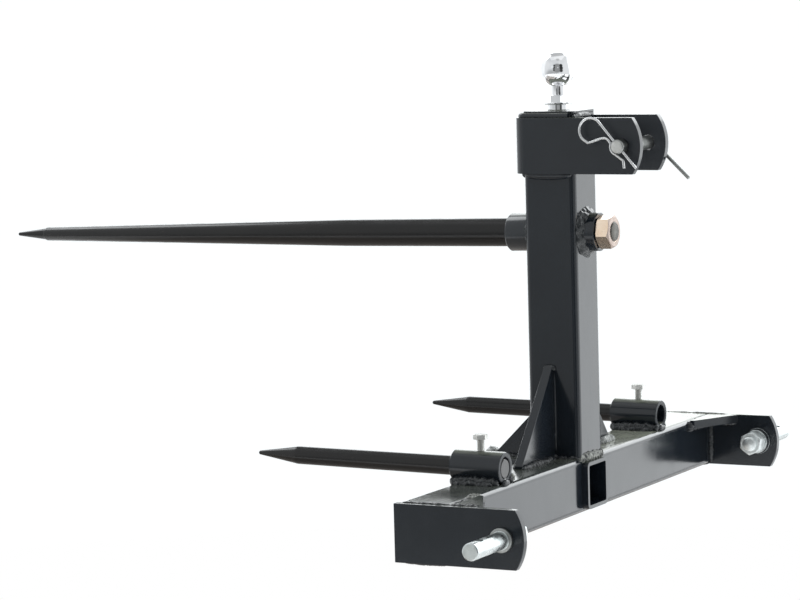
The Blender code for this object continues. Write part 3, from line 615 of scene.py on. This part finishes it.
def makeLowerPin(side, sign, tune):
    place = Matrix.Rotation(sign * pi / 2, 4, "Y")
    shaft, collar, cut, end = tune["shaft"], tune["collar"], tune["chamfer"], tune["end"]
    low, high, stud = tune["collarLow"], tune["collarHigh"], tune["stud"] - 0.0005
    profile = [(0, low - 0.004), (stud, low - 0.004), (stud, low), (collar, low), (collar, high),
               (shaft, high), (shaft, end - 0.4 * cut), (shaft - cut, end), (0, end)]
    pin = turnedPiece(side + "LowerLinkPin", profile, place, "zincPlate", side + "_lower_link_pin",
                      edge=0.0011)
    across = Matrix.Translation((0, 0, tune["linchAt"])) @ Matrix.Rotation(pi / 2, 4, "Y")
    drill(pin, tune["linch"], 0.02, place @ across)
    recoat(pin, "pinEnd", lambda face: isEndFace(face, end))
    recoat(pin, "darkZinc", lambda face: face.center.yz.length > 1.08 * shaft)
    rows = threadRows(tune["stud"], tune["pitch"], tune["studEnd"], low - 0.0005, 0.0014, 56)
    skinnedPiece(side + "PinThread", rows, "nutZinc", None, 55, place)
    inner, outer, low, high = tune["flatWasher"]
    profile = [(inner, low), (outer, low), (outer, high), (inner, high), (inner, low)]
    washer = turnedPiece(side + "FlatWasher", profile, place, "zincPlate", side + "_flat_washer", edge=0.0006)
    recoat(washer, "framePaint", lambda face: abs(face.normal.x) > 0.97)
    splitRing(side + "LockWasher", *tune["lockWasher"], place, side + "_lock_washer", "zincPlate")
    rows = hexRows(tune["nutFlats"], tune["nutLow"], tune["nutHigh"], tune["nutBore"])
    turn = Matrix.Rotation(radians(tune["nutTurn"]), 4, "Z")
    skinnedPiece(side + "PinNut", rows, "nutZinc", side + "_pin_nut", 25, place @ turn, True)


for side, sign in sides:
    makeLowerPin(side, sign, lowerPin)
print("lower link pins made")


# Top link pin, its handle and its spring clip

topPin = {
    "height": 0.46, "radius": 0.0095, "end": 0.0648, "edge": 0.0015,
    "handleAt": -0.0578, "handleRadius": 0.0026, "handleLow": -0.0115, "handleHigh": 0.0715,
    "handleEdge": 0.0012, "handleSlope": 44.0,
}
springClip = {
    "at": 0.0583, "slope": 49.3, "wire": 0.0018, "eyeRadius": 0.0162, "eyeBack": 0.042,
    "legPast": 0.037, "hug": 0.0116, "tail": 0.016,
}


def smoothPath(points):
    # Catmull-Rom through the points
    perSpan = 4
    ends = [points[0] * 2 - points[1]] + points + [points[-1] * 2 - points[-2]]
    path = []
    for a, b, c, d in zip(ends, ends[1:], ends[2:], ends[3:]):
        for step in range(perSpan):
            t = step / perSpan
            path.append(0.5 * (2 * b + (c - a) * t + (2 * a - 5 * b + 4 * c - d) * t * t
                               + (3 * b - a - 3 * c + d) * t ** 3))
    return path + [points[-1]]


def wireRows(path, radius):
    # The wire lies flat across X, and its two ends are a little thinner
    flat = Vector((1.0, 0.0, 0.0))
    turn = anglesOf(16)
    rows = [[path[0]]]
    for index, point in enumerate(path):
        ahead = path[min(index + 1, len(path) - 1)] - path[max(index - 1, 0)]
        ahead.normalize()
        across = flat.cross(ahead).normalized()
        share = 0.72 if index in (0, len(path) - 1) else 1.0
        rows.append([point + (flat * cos(a) + across * sin(a)) * radius * share for a in turn])
    return rows + [[path[-1]]]


def makeSpringClip(tune):
    slope = radians(tune["slope"])
    along = Vector((0, cos(slope), -sin(slope)))
    across = Vector((0, sin(slope), cos(slope)))
    eye, hug, tail = tune["eyeRadius"], tune["hug"], tune["tail"]
    flat = [(tune["legPast"], 0.0), (tune["legPast"] - 0.001, 0.0), (0.02, 0.0), (0.0, 0.0), (-0.02, 0.0)]
    for step in range(15):
        angle = radians(90 + (312 - 90) * step / 14)
        flat.append((-tune["eyeBack"] + eye * cos(angle), -eye + eye * sin(angle)))
    flat.append((-1.85 * hug, -0.66 * hug))
    for step in range(9):
        angle = radians(210 + (296 - 210) * step / 8)
        flat.append((hug * cos(angle), hug * sin(angle)))
    flat += [(hug + share * tail, -drop * hug) for share, drop in (
        (0.18, 0.7), (0.4, 0.62), (0.56, 0.74), (0.9, 1.08), (0.94, 1.12))]
    middle = Vector((tune["at"], 0, topPin["height"]))
    path = smoothPath([middle + along * u + across * v for u, v in flat])
    skinnedPiece("springClip", wireRows(path, tune["wire"]), "clipWire", "r_clip", 50)


def crossFrame(at, slope):
    # The axis of a hole across the top pin
    place = Matrix.Translation((at, 0, topPin["height"]))
    return place @ Matrix.Rotation(-pi / 2 - radians(slope), 4, "X")


def makeTopPin(tune):
    place = Matrix.Translation((0, 0, tune["height"])) @ Matrix.Rotation(pi / 2, 4, "Y")
    end = tune["end"]
    profile = rodProfile(tune["radius"], -end, end, tune["edge"])
    pin = turnedPiece("topLinkPin", profile, place, "darkZinc", "top_link_pin", 80, edge=0.0006)
    drill(pin, springClip["wire"] + 0.0006, 0.03, crossFrame(springClip["at"], springClip["slope"]), 24)
    handle = crossFrame(tune["handleAt"], tune["handleSlope"])
    drill(pin, tune["handleRadius"] + gap, 0.03, handle, 24)
    recoat(pin, "matteZinc", lambda face: isEndFace(face, end))
    profile = rodProfile(tune["handleRadius"], tune["handleLow"], tune["handleHigh"], tune["handleEdge"])
    turnedPiece("topPinHandle", profile, handle, "darkZinc", "top_pin_handle", 32, edge=0.0006)


makeTopPin(topPin)
makeSpringClip(springClip)
print("top link pin made")


# Hitch ball on the cap plate

hitchBall = {
    "base": 0.5061, "washer": 0.0074, "washerInner": 0.0101, "washerOuter": 0.0155,
    "flange": 0.02, "flangeThick": 0.003, "hexFlats": 0.0245, "hexHeight": 0.0095,
    "neck": 0.01025, "neckHeight": 0.0125, "ball": 0.0238, "crown": 0.007, "shank": 0.0095,
    "nutFlats": 0.0286, "nutHeight": 0.016, "nutBore": 0.0098, "capThick": 0.004, "hexTurn": 36.0,
}


def makeHitchBall(tune):
    place = Matrix.Translation((0, mastMiddle, tune["base"]))
    neck, flange, shank, ball = tune["neck"], tune["flange"], tune["shank"], tune["ball"]
    washerTop = tune["washer"] + gap
    flangeTop = washerTop + tune["flangeThick"]
    hexTop = flangeTop + tune["hexHeight"]
    neckTop = hexTop + tune["neckHeight"]
    low, top = acos(neck / ball), acos(tune["crown"] / ball)
    centre = neckTop + ball * sin(low)
    foot = -(tune["capThick"] + 3 * gap + tune["nutHeight"] + 0.003)
    profile = [(0, foot), (0.0085, foot), (shank, foot + 0.001), (shank, washerTop),
               (flange - 0.001, washerTop), (flange, washerTop + 0.001), (flange, flangeTop - 0.0008),
               (flange - 0.0012, flangeTop), (neck + 0.0015, flangeTop), (neck, flangeTop + 0.002),
               (neck, neckTop - 0.003)]
    for step in range(29):
        angle = -low + 0.02 + (top + low - 0.02) * step / 28
        profile.append((ball * cos(angle), centre + ball * sin(angle)))
    profile.append((0, centre + ball * sin(top)))
    turn = radians(tune["hexTurn"])
    bm = bmesh.new()
    skin(bm, turnedRows(profile, 128))
    bm.transform(Matrix.Rotation(-turn, 4, "Z"))
    skin(bm, hexRows(tune["hexFlats"], flangeTop - 0.0005, hexTop, 0, False))
    bm.transform(Matrix.Rotation(turn, 4, "Z"))
    finishPiece("hitchBall", bm, "chromePlate", "hitch_ball", 40, place)
    splitRing("ballLockWasher", tune["washerInner"], tune["washerOuter"], 0.0, tune["washer"],
              place, "ball_lock_washer", "chromePlate")
    nutTop = -(tune["capThick"] + 2 * gap)
    rows = hexRows(tune["nutFlats"], nutTop - tune["nutHeight"], nutTop, tune["nutBore"])
    skinnedPiece("ballNut", rows, "zincPlate", "ball_nut", 25, place, True)


makeHitchBall(hitchBall)
print("hitch ball made")


# Weld beads: a geometry node tree sweeps each bead along its seam

def startTree(name, inputs):
    tree = bpy.data.node_groups.new(name, "GeometryNodeTree")
    for kind, labels in (("Geometry", ("Geometry",)), *inputs, ("Material", ("Material",))):
        for label in labels:
            tree.interface.new_socket(name=label, in_out="INPUT", socket_type="NodeSocket" + kind)
    tree.interface.new_socket(name="Geometry", in_out="OUTPUT", socket_type="NodeSocketGeometry")
    return tree, tree.nodes.new("NodeGroupInput").outputs


def closeTree(tree, shape, material):
    real = addNode(tree, "GeometryNodeRealizeInstances", {"Geometry": shape})
    coat = addNode(tree, "GeometryNodeSetMaterial", {
        "Geometry": real.outputs["Geometry"], "Material": material})
    addNode(tree, "NodeGroupOutput", {"Geometry": coat.outputs["Geometry"]})
    return tree


def makeBeadTree():
    tree, put = startTree("weldBead", (("Float", (
        "Radius", "Spacing", "Ripple Pitch", "Ripple Depth", "Lump Size", "Lump Scale", "Wander", "Taper",
        "Seed")),))

    def add(kind, values, **settings):
        return addNode(tree, kind, values, **settings).outputs

    def calc(operation, first, second=None):
        return addMath(tree, operation, first, second)

    curve = add("GeometryNodeMeshToCurve", {"Mesh": put["Geometry"]})["Curve"]
    curve = add(
        "GeometryNodeResampleCurve", {"Curve": curve, "Length": put["Spacing"]}, mode="LENGTH")["Curve"]
    # The seam wanders a little, as a hand-held torch does
    wander = add("ShaderNodeTexNoise", {"W": put["Seed"], "Scale": 70.0}, noise_dimensions="4D")["Color"]
    centred = add("ShaderNodeVectorMath", {0: wander, 1: (0.5, 0.5, 0.5)}, operation="SUBTRACT")[0]
    scaled = add("ShaderNodeVectorMath", {0: centred, "Scale": put["Wander"]}, operation="SCALE")[0]
    curve = add("GeometryNodeSetPosition", {"Geometry": curve, "Offset": scaled})["Geometry"]
    along = add("GeometryNodeSplineParameter", {})
    values = {"Geometry": curve, "Name": "along", "Value": along["Length"]}
    curve = add("GeometryNodeStoreNamedAttribute", values, data_type="FLOAT", domain="POINT")["Geometry"]
    # Both ends taper off
    bow = calc("MULTIPLY", calc("SUBTRACT", 1.0, along["Factor"]), along["Factor"])
    bow = calc("POWER", calc("MULTIPLY", bow, 4.0), 0.35)
    bow = calc("ADD", calc("MULTIPLY", bow, put["Taper"]), calc("SUBTRACT", 1.0, put["Taper"]))
    curve = add("GeometryNodeSetCurveRadius", {"Curve": curve, "Radius": bow})["Curve"]
    ring = add("GeometryNodeCurvePrimitiveCircle", {"Radius": put["Radius"], "Resolution": 10})["Curve"]
    sweep = addNode(tree, "GeometryNodeCurveToMesh", {
        "Curve": curve, "Profile Curve": ring, "Fill Caps": True})
    if "Scale" in sweep.inputs:
        feed(tree, sweep, {"Scale": bow})
    # Ripples across the bead, and lumps along it
    kept = add("GeometryNodeInputNamedAttribute", {"Name": "along"}, data_type="FLOAT")["Attribute"]
    lump = add("ShaderNodeTexNoise", {
        "W": put["Seed"], "Scale": put["Lump Scale"], "Detail": 2.0}, noise_dimensions="4D")["Fac"]
    lump = calc("SUBTRACT", lump, 0.5)
    wave = calc("ADD", calc("DIVIDE", kept, put["Ripple Pitch"]), calc("MULTIPLY", lump, 5.0))
    ripple = calc("ABSOLUTE", calc("SINE", calc("MULTIPLY", wave, pi)))
    swell = calc("MULTIPLY", lump, put["Lump Size"])
    rise = calc("ADD", calc("MULTIPLY", ripple, put["Ripple Depth"]), swell)
    normal = add("GeometryNodeInputNormal", {})["Normal"]
    push = add("ShaderNodeVectorMath", {0: normal, "Scale": rise}, operation="SCALE")[0]
    bead = add("GeometryNodeSetPosition", {"Geometry": sweep.outputs["Mesh"], "Offset": push})["Geometry"]
    return closeTree(tree, bead, put["Material"])


def makeSpatterTree():
    tree, put = startTree("weldSpatter", (("Float", ("Density", "Smallest", "Largest")), ("Int", ("Seed",))))
    scatter = addNode(tree, "GeometryNodeDistributePointsOnFaces", {
        "Mesh": put["Geometry"], "Density": put["Density"], "Seed": put["Seed"]})
    drop = addNode(tree, "GeometryNodeMeshIcoSphere", {"Radius": 1.0, "Subdivisions": 1})
    size = addNode(tree, "FunctionNodeRandomValue", {
        2: put["Smallest"], 3: put["Largest"], "Seed": put["Seed"]}, data_type="FLOAT")
    instance = addNode(tree, "GeometryNodeInstanceOnPoints", {
        "Points": scatter.outputs["Points"], "Instance": drop.outputs["Mesh"], "Scale": size.outputs[1]})
    return closeTree(tree, instance.outputs["Instances"], put["Material"])


def growNodes(name, bm, tree, values, look):
    # Runs the tree on the mesh and keeps the plain result
    seed = addObject(name + "Seam", meshFrom(name + "Seam", bm))
    grown = seed.modifiers.new(tree.name, "NODES")
    grown.node_group = tree
    values = {**values, "Material": finishes[look]}
    for item in tree.interface.items_tree:
        if item.item_type == "SOCKET" and item.in_out == "INPUT" and item.name in values:
            grown[item.identifier] = values[item.name]
    result = bakeModifiers(seed)
    bpy.data.objects.remove(seed, do_unlink=True)
    result.name = name
    shownPiece(name, result, look, None, None)


beadTree = makeBeadTree()
spatterTree = makeSpatterTree()


def layWelds(welds):
    for name, (node, look, bead, both, once) in welds.items():
        bm = bmesh.new()
        for seam in both + [[(-x, y, z) for x, y, z in seam] for seam in both] + once:
            points = [bm.verts.new(point) for point in seam]
            for before, after in zip(points, points[1:]):
                bm.edges.new((before, after))
        growNodes(name, bm, beadTree, bead, look)


smallBead = {
    "Radius": 0.0044, "Spacing": 0.0007, "Ripple Pitch": 0.0032, "Ripple Depth": 0.0005,
    "Lump Size": 0.0022, "Lump Scale": 110.0, "Wander": 0.0012, "Taper": 1.0, "Seed": 1.0,
}
roughBead = {**smallBead, "Radius": 0.0072, "Ripple Pitch": 0.005, "Ripple Depth": 0.001,
             "Lump Size": 0.012, "Lump Scale": 150.0, "Wander": 0.003, "Taper": 0.8, "Seed": 7.0}
footBead = {**smallBead, "Radius": 0.0056, "Ripple Depth": 0.0006, "Lump Size": 0.0095, "Lump Scale": 210.0,
            "Wander": 0.0018, "Seed": 33.0}
smoothBead = {**smallBead, "Radius": 0.0042, "Ripple Depth": 0.0002, "Lump Size": 0.0012, "Wander": 0.0006,
              "Seed": 19.0}
thinBead = {**smoothBead, "Radius": 0.0026, "Ripple Depth": 0.0001, "Lump Size": 0.0008, "Seed": 27.0}

# Each weld has the solid it goes with, its finish, its bead, the seams that are laid
# on both sides, and the seams that are laid once
mastWelds = {
    "mastWelds": ("mast_tube", "weldPaint", {**footBead, "Radius": 0.0048, "Seed": 1.0}, [
        [(0.0366, -0.148, 0.0366), (0.0366, -0.077, 0.0366)],
        [(0.0062, -0.152, 0.0315), (0.0062, -0.213, 0.0315)],
        [(0.0062, -0.1498, 0.036), (0.0062, -0.1498, 0.094)]], [
        [(-0.034, -0.1488, 0.0345), (0.034, -0.1488, 0.0345)]]),
    "gussetFootWelds": ("right_mast_gusset", "weldPaint", footBead, [
        [(0.0415, -0.1105, beamTop), (0.1415, -0.1105, beamTop)],
        [(0.0415, -0.1235, beamTop), (0.1415, -0.1235, beamTop)]], []),
    # This blob's near-white finish is painted highlight
    "gussetFootBlob": ("left_mast_gusset", "paintedHighlightWeld", {**footBead, "Radius": 0.007, "Seed": 35.0}, [], [
        [(-0.1, -0.1085, beamTop + 0.001), (-0.147, -0.1085, beamTop + 0.001)]]),
    "gussetUprightWelds": ("right_mast_gusset", "framePaint", thinBead, [
        [(0.0366, -0.1108, 0.045), (0.0366, -0.1108, 0.156)],
        [(0.0366, -0.1232, 0.045), (0.0366, -0.1232, 0.156)]], []),
    "gussetHeadWelds": ("right_mast_gusset", "weldPaint", {**smallBead, "Seed": 29.0}, [
        [(0.038, -0.1255, 0.1608), (0.038, -0.1075, 0.16)]], []),
    # Light grey finish: dust and painted highlight
    "mastRearWeld": ("mast_tube", "dustAndHighlightWeld", {
        **footBead, "Radius": 0.007, "Lump Size": 0.011, "Seed": 3.0}, [], [
        [(-0.036, -0.0766, 0.0366), (0.036, -0.0766, 0.0366)]]),
    # This weld's near-white finish is painted highlight
    "gussetToeWeld": ("front_mast_gusset", "paintedHighlightWeld", {**roughBead, "Radius": 0.0092, "Seed": 5.0}, [], [
        [(-0.0085, -0.2235, 0.0335), (0.0085, -0.2225, 0.0335)]]),
}
socketWelds = {
    "socketWelds": ("right_socket", "weldPaint", roughBead, [
        [(0.271, -0.15, 0.0405), (0.271, -0.0825, 0.0405)],
        [(0.238, -0.15, 0.0415), (0.238, -0.0795, 0.0415)]], []),
    "socketSkirtWelds": ("right_socket", "weldPaint", {**roughBead, "Radius": 0.005, "Seed": 37.0}, [
        [(0.277, -0.148, 0.0385), (0.2765, -0.09, 0.0385)],
        [(0.2325, -0.148, 0.0385), (0.2325, -0.085, 0.0385)]], []),
    # Light grey finish: dust and painted highlight
    "socketTailBlob": ("right_socket", "dustAndHighlightWeld", {**footBead, "Radius": 0.0068, "Seed": 41.0}, [], [
        [(0.2345, -0.108, 0.0425), (0.2325, -0.079, 0.0435)]]),
    "socketEndWelds": ("right_socket", "weldPaint", {**smallBead, "Seed": 9.0}, [
        [(0.246, -0.0805, 0.0388), (0.264, -0.0805, 0.0388)]], []),
}
plateTopSeams = [
    [(0.4236, -0.146, 0.0356), (0.4236, -0.034, 0.0356)],
    [(0.36, -0.0775, 0.0338), (0.419, -0.0775, 0.0338)],
]
plateWelds = {
    "plateWelds": ("cross_beam", "weldPaint", {**smallBead, "Seed": 11.0}, [
        [(0.4236, -0.074, -0.034), (0.4236, -0.074, 0.0245)],
        [(0.4236, -0.146, -0.0362), (0.4236, -0.078, -0.0362)],
        [(0.4236, -0.0715, 0.025), (0.4236, -0.033, 0.025)],
        [(0.35, -0.0744, 0.025), (0.419, -0.0744, 0.025)]], []),
    "rightPlateTopWelds": ("cross_beam", "weldPaint", {
        **smallBead, "Radius": 0.0032, "Ripple Pitch": 0.0185, "Ripple Depth": 0.0013,
        "Lump Size": 0.004, "Lump Scale": 60.0, "Seed": 13.0}, [], plateTopSeams),
    # Light grey finish on the left side: dust and painted highlight
    "leftPlateTopWelds": ("cross_beam", "dustAndHighlightWeld", {
        **smallBead, "Radius": 0.003, "Lump Size": 0.003, "Seed": 13.0}, [],
        [[(-x, y, z) for x, y, z in seam] for seam in plateTopSeams]),
    "gussetToeBlobs": ("left_corner_gusset", "weldPaint", {**roughBead, "Radius": 0.0056, "Seed": 15.0}, [
        [(0.3475, -0.0742, 0.0345), (0.3425, -0.0742, 0.0235)]], []),
    # Light grey finish: dust and painted highlight
    "gussetCapBlob": ("right_corner_gusset", "dustAndHighlightWeld", {
        **footBead, "Radius": 0.0078, "Lump Size": 0.006, "Seed": 39.0}, [], [
        [(0.376, -0.0795, 0.0315), (0.333, -0.079, 0.0318)]]),
}
middleWelds = {
    "receiverWelds": ("receiver_tube", "weldPaint", {**smallBead, "Radius": 0.0036, "Seed": 17.0}, [], [
        [(-0.028, -0.1507, -0.033), (0.028, -0.1507, -0.033)],
        [(-0.0328, -0.1507, -0.027), (-0.0328, -0.1507, 0.027)],
        [(0.0328, -0.1507, -0.027), (0.0328, -0.1507, 0.027)]]),
    "bracketWelds": ("top_link_bracket", "framePaint", {**smoothBead, "Radius": 0.007}, [
        [(0.0382, -0.146, 0.4208), (0.0382, -0.078, 0.4208)],
        [(0.0372, -0.0748, 0.427), (0.0372, -0.0748, 0.493)]], [
        [(-0.033, -0.1512, 0.4208), (0.033, -0.1512, 0.4208)]]),
    # Fills the step from the cap plate down to the bracket, round the mast
    "capSideWeld": ("cap_plate", "framePaint", {
        **smoothBead, "Radius": 0.0047, "Taper": 0.0, "Seed": 23.0}, [], [
        [(0.0385, -0.0805, 0.499), (0.0385, -0.1475, 0.499), (0.0345, -0.1515, 0.499),
         (-0.0345, -0.1515, 0.499), (-0.0385, -0.1475, 0.499), (-0.0385, -0.0805, 0.499)]]),
    "capRearWeld": ("cap_plate", "weldPaint", {
        **smallBead, "Radius": 0.0054, "Ripple Depth": 0.0003, "Lump Size": 0.003, "Seed": 21.0}, [], [
        [(0.0385, -0.0745, 0.4982), (-0.017, -0.0745, 0.4982)]]),
}
sleeveFillet = {
    "rear": -0.0748, "rearHeight": 0.3417, "rearLeg": 0.0085,
    "front": -0.1502, "frontHeight": 0.3403, "frontLeg": 0.005,
    "inner": 0.0259, "sunk": 0.0012, "foot": 0.0008, "lump": 0.45, "lumpScale": 2.4, "hollow": 0.05,
    "grainScale": 150.0, "grain": 0.0014, "steps": 220, "arc": 10,
}
spatterDrops = {
    "patches": ((0.2, 0.315), (-0.315, -0.2), (0.05, 0.15), (-0.15, -0.05)),
    "front": -0.14, "rear": -0.084, "lift": 0.0002,
    "drops": {"Density": 3000.0, "Smallest": 0.0003, "Largest": 0.0011, "Seed": 4},
}


def sleeveWeld(face, outward, tune):
    # A smooth uneven fillet runs round the sleeve on one face of the mast
    level, height, leg = tune[face], tune[face + "Height"], tune[face + "Leg"]
    sunk, foot, hollow, scale = tune["sunk"], tune["foot"], tune["hollow"], tune["lumpScale"]
    rows = []
    for step in range(tune["steps"]):
        angle = 2 * pi * step / tune["steps"]
        across, rise = cos(angle), sin(angle)
        size = leg * (1 + tune["lump"] * noise.noise(Vector((scale * across, scale * rise, 3.0 + outward))))
        section = [(-sunk, -foot), (size, -foot)]
        for part in range(tune["arc"] + 1):
            straight = part / tune["arc"]
            turn = pi / 2 * straight
            out = (1 - hollow) * (1 - straight) + hollow * (1 - sin(turn))
            along = (1 - hollow) * straight + hollow * (1 - cos(turn))
            section.append((size * out, size * along))
        section.append((-sunk, size))
        row = []
        for out, along in section:
            radius = tune["inner"] + out
            grain = 0.0
            if out > 0 and along > 0:
                spot = Vector((radius * across, along, radius * rise)) * tune["grainScale"]
                grain = tune["grain"] * noise.noise(spot)
            radius += grain
            row.append((radius * across, level + outward * (along + grain), height + radius * rise))
        rows.append(row)
    name = "sleeve" + face.title() + "Weld"
    skinnedPiece(name, rows, "weldPaint", None, 60, joined=True)


def spatter(tune):
    bm = bmesh.new()
    front, rear, height = tune["front"], tune["rear"], beamTop + tune["lift"]
    for low, high in tune["patches"]:
        corners = ((low, front), (high, front), (high, rear), (low, rear))
        bm.faces.new([bm.verts.new((x, y, height)) for x, y in corners])
    growNodes("weldSpatter", bm, spatterTree, tune["drops"], "weldPaint")


layWelds(mastWelds)
layWelds(socketWelds)
sleeveWeld("rear", 1, sleeveFillet)
sleeveWeld("front", -1, sleeveFillet)
layWelds(plateWelds)
layWelds(middleWelds)
spatter(spatterDrops)
print("welds laid")


# Studio: white surround, dark side where the camera stands

studio = {
    "floorPlace": (0, -0.4, -0.46), "floorRadius": 2.2, "floorShade": (0.5, 0.455, 0.42), "floorRough": 0.9,
    "cardShade": (0.9, 0.9, 0.9), "cardGlow": 0.36, "cardFrom": -0.28, "cardTo": -0.05,
    "frontFrom": -1.5, "frontTo": -1.9, "sideFrom": 0.95, "sideTo": 1.2,
    "lampPlace": (-0.3, -0.4, 2.4), "lampAim": (0.0, -0.3, 0.2), "lampSize": 2.2, "lampPower": 3.0,
    "surround": 0.85, "tint": (0.955, 0.985, 1.0), "seen": 1.05,
    # Azimuth and height of each patch, its full and its outer half-angle, and its level
    "patches": (
        (30.0, 90.0, 30.0, 60.0, 0.8), (28.0, 70.0, 4.0, 12.0, 0.5), (212.0, 58.0, 20.0, 28.0, 0.4),
        (255.0, 4.0, 26.0, 42.0, 1.15), (249.0, 40.0, 8.0, 14.0, 4.2), (-20.0, -40.0, 25.0, 50.0, 0.49),
        (22.0, 10.0, 24.0, 34.0, 0.32), (48.0, 26.0, 7.0, 13.0, 0.04), (48.0, 10.0, 8.0, 14.0, 0.04),
        (48.0, -6.0, 7.0, 13.0, 0.06), (0.0, 26.0, 4.0, 9.0, 0.08), (0.0, 12.0, 4.0, 9.0, 0.08),
        (0.0, -2.0, 4.0, 9.0, 0.12), (140.0, 8.0, 25.0, 42.0, 2.32), (173.0, 28.0, 9.0, 17.0, 5.0),
        (207.8, 8.0, 16.0, 30.0, 2.5), (-12.0, 18.0, 6.0, 10.0, 1.0), (26.0, 14.0, 2.0, 5.0, 0.8),
    ),
}
photoCamera = {
    "place": (3.91024, 1.70373, 0.69739), "aim": (-0.87957, -0.46463, -0.10234),
    "roll": 1.557, "lens": 143.79, "sensor": 36.0, "near": 0.1, "far": 60.0,
}


def aimAt(azimuth, height):
    turn, rise = radians(azimuth), radians(height)
    return Vector((cos(turn) * cos(rise), sin(turn) * cos(rise), sin(rise)))


def mixValue(tree, factor, first, second):
    return addNode(tree, "ShaderNodeMix", {0: factor, 2: first, 3: second}, data_type="FLOAT").outputs[0]


def makeWorld(tune):
    world = bpy.data.worlds.new("studioWorld")
    bpy.context.scene.world = world
    world.use_nodes = True
    tree = world.node_tree
    ray = addNode(tree, "ShaderNodeTexCoord", {}).outputs["Generated"]
    level = tune["surround"]
    for azimuth, height, inner, outer, amount in tune["patches"]:
        dot = addNode(
            tree, "ShaderNodeVectorMath", {0: ray, 1: aimAt(azimuth, height)}, operation="DOT_PRODUCT")
        low, high = cos(radians(outer)), cos(radians(inner))
        share = addRange(tree, dot.outputs["Value"], low, high, interpolation_type="SMOOTHSTEP")
        level = mixValue(tree, share, level, amount)
    camera = addNode(tree, "ShaderNodeLightPath", {}).outputs["Is Camera Ray"]
    feed(tree, tree.nodes["Background"], {
        "Strength": mixValue(tree, camera, level, tune["seen"]), "Color": (*tune["tint"], 1.0)})


def makeFloor(tune):
    bm = bmesh.new()
    bmesh.ops.create_circle(bm, cap_ends=True, segments=96, radius=tune["floorRadius"],
                            matrix=Matrix.Translation(tune["floorPlace"]))
    floor = addObject("studioFloor", meshFrom("studioFloor", bm))
    finish, tree, shader, place = addFinish("studioFloor")
    # White cards lie behind the object, on its right and far in front of it
    at = splitAxes(tree, place.outputs["Object"])
    card = addMath(tree, "MAXIMUM", addRange(tree, at["Y"], tune["cardFrom"], tune["cardTo"]),
                   addRange(tree, at["Y"], tune["frontFrom"], tune["frontTo"]))
    card = addMath(tree, "MAXIMUM", card, addRange(tree, at["X"], tune["sideFrom"], tune["sideTo"]))
    feed(tree, shader, {
        "Base Color": addBlend(tree, card, tune["floorShade"], tune["cardShade"]),
        "Roughness": tune["floorRough"], "Emission Color": (1.0, 1.0, 1.0, 1.0),
        "Emission Strength": addMath(tree, "MULTIPLY", card, tune["cardGlow"])})
    # The camera sees the floor as plain white, as the cut-out background is
    seen = addNode(tree, "ShaderNodeMixShader", {
        "Fac": addNode(tree, "ShaderNodeLightPath", {}).outputs["Is Camera Ray"],
        1: shader.outputs["BSDF"], 2: addNode(tree, "ShaderNodeEmission", {}).outputs["Emission"]})
    feed(tree, tree.nodes["Material Output"], {"Surface": seen.outputs["Shader"]})
    floor.data.materials.append(finish)


def makeLamp(tune):
    data = bpy.data.lights.new("topPanel", "AREA")
    data.shape = "RECTANGLE"
    data.size = data.size_y = tune["lampSize"]
    data.energy = tune["lampPower"]
    lamp = addObject("topPanel", data)
    lamp.location = tune["lampPlace"]
    lamp.rotation_mode = "QUATERNION"
    lamp.rotation_quaternion = (Vector(tune["lampAim"]) - lamp.location).to_track_quat("-Z", "Y")


def makeCamera(tune):
    aim = Vector(tune["aim"]).normalized()
    level = Vector((aim.y, -aim.x, 0.0)).normalized()
    rise = level.cross(aim).normalized()
    roll = radians(tune["roll"])
    right = level * cos(roll) - rise * sin(roll)
    up = level * sin(roll) + rise * cos(roll)
    data = bpy.data.cameras.new("photoCamera")
    data.sensor_width, data.lens = tune["sensor"], tune["lens"]
    data.clip_start, data.clip_end = tune["near"], tune["far"]
    camera = addObject("photoCamera", data)
    turn = Matrix((right, up, -aim)).transposed().to_4x4()
    camera.matrix_world = Matrix.Translation(tune["place"]) @ turn
    bpy.context.scene.camera = camera


makeWorld(studio)
makeFloor(studio)
makeLamp(studio)
makeCamera(photoCamera)
bpy.context.scene.view_settings.view_transform = "Standard"
print("studio ready")
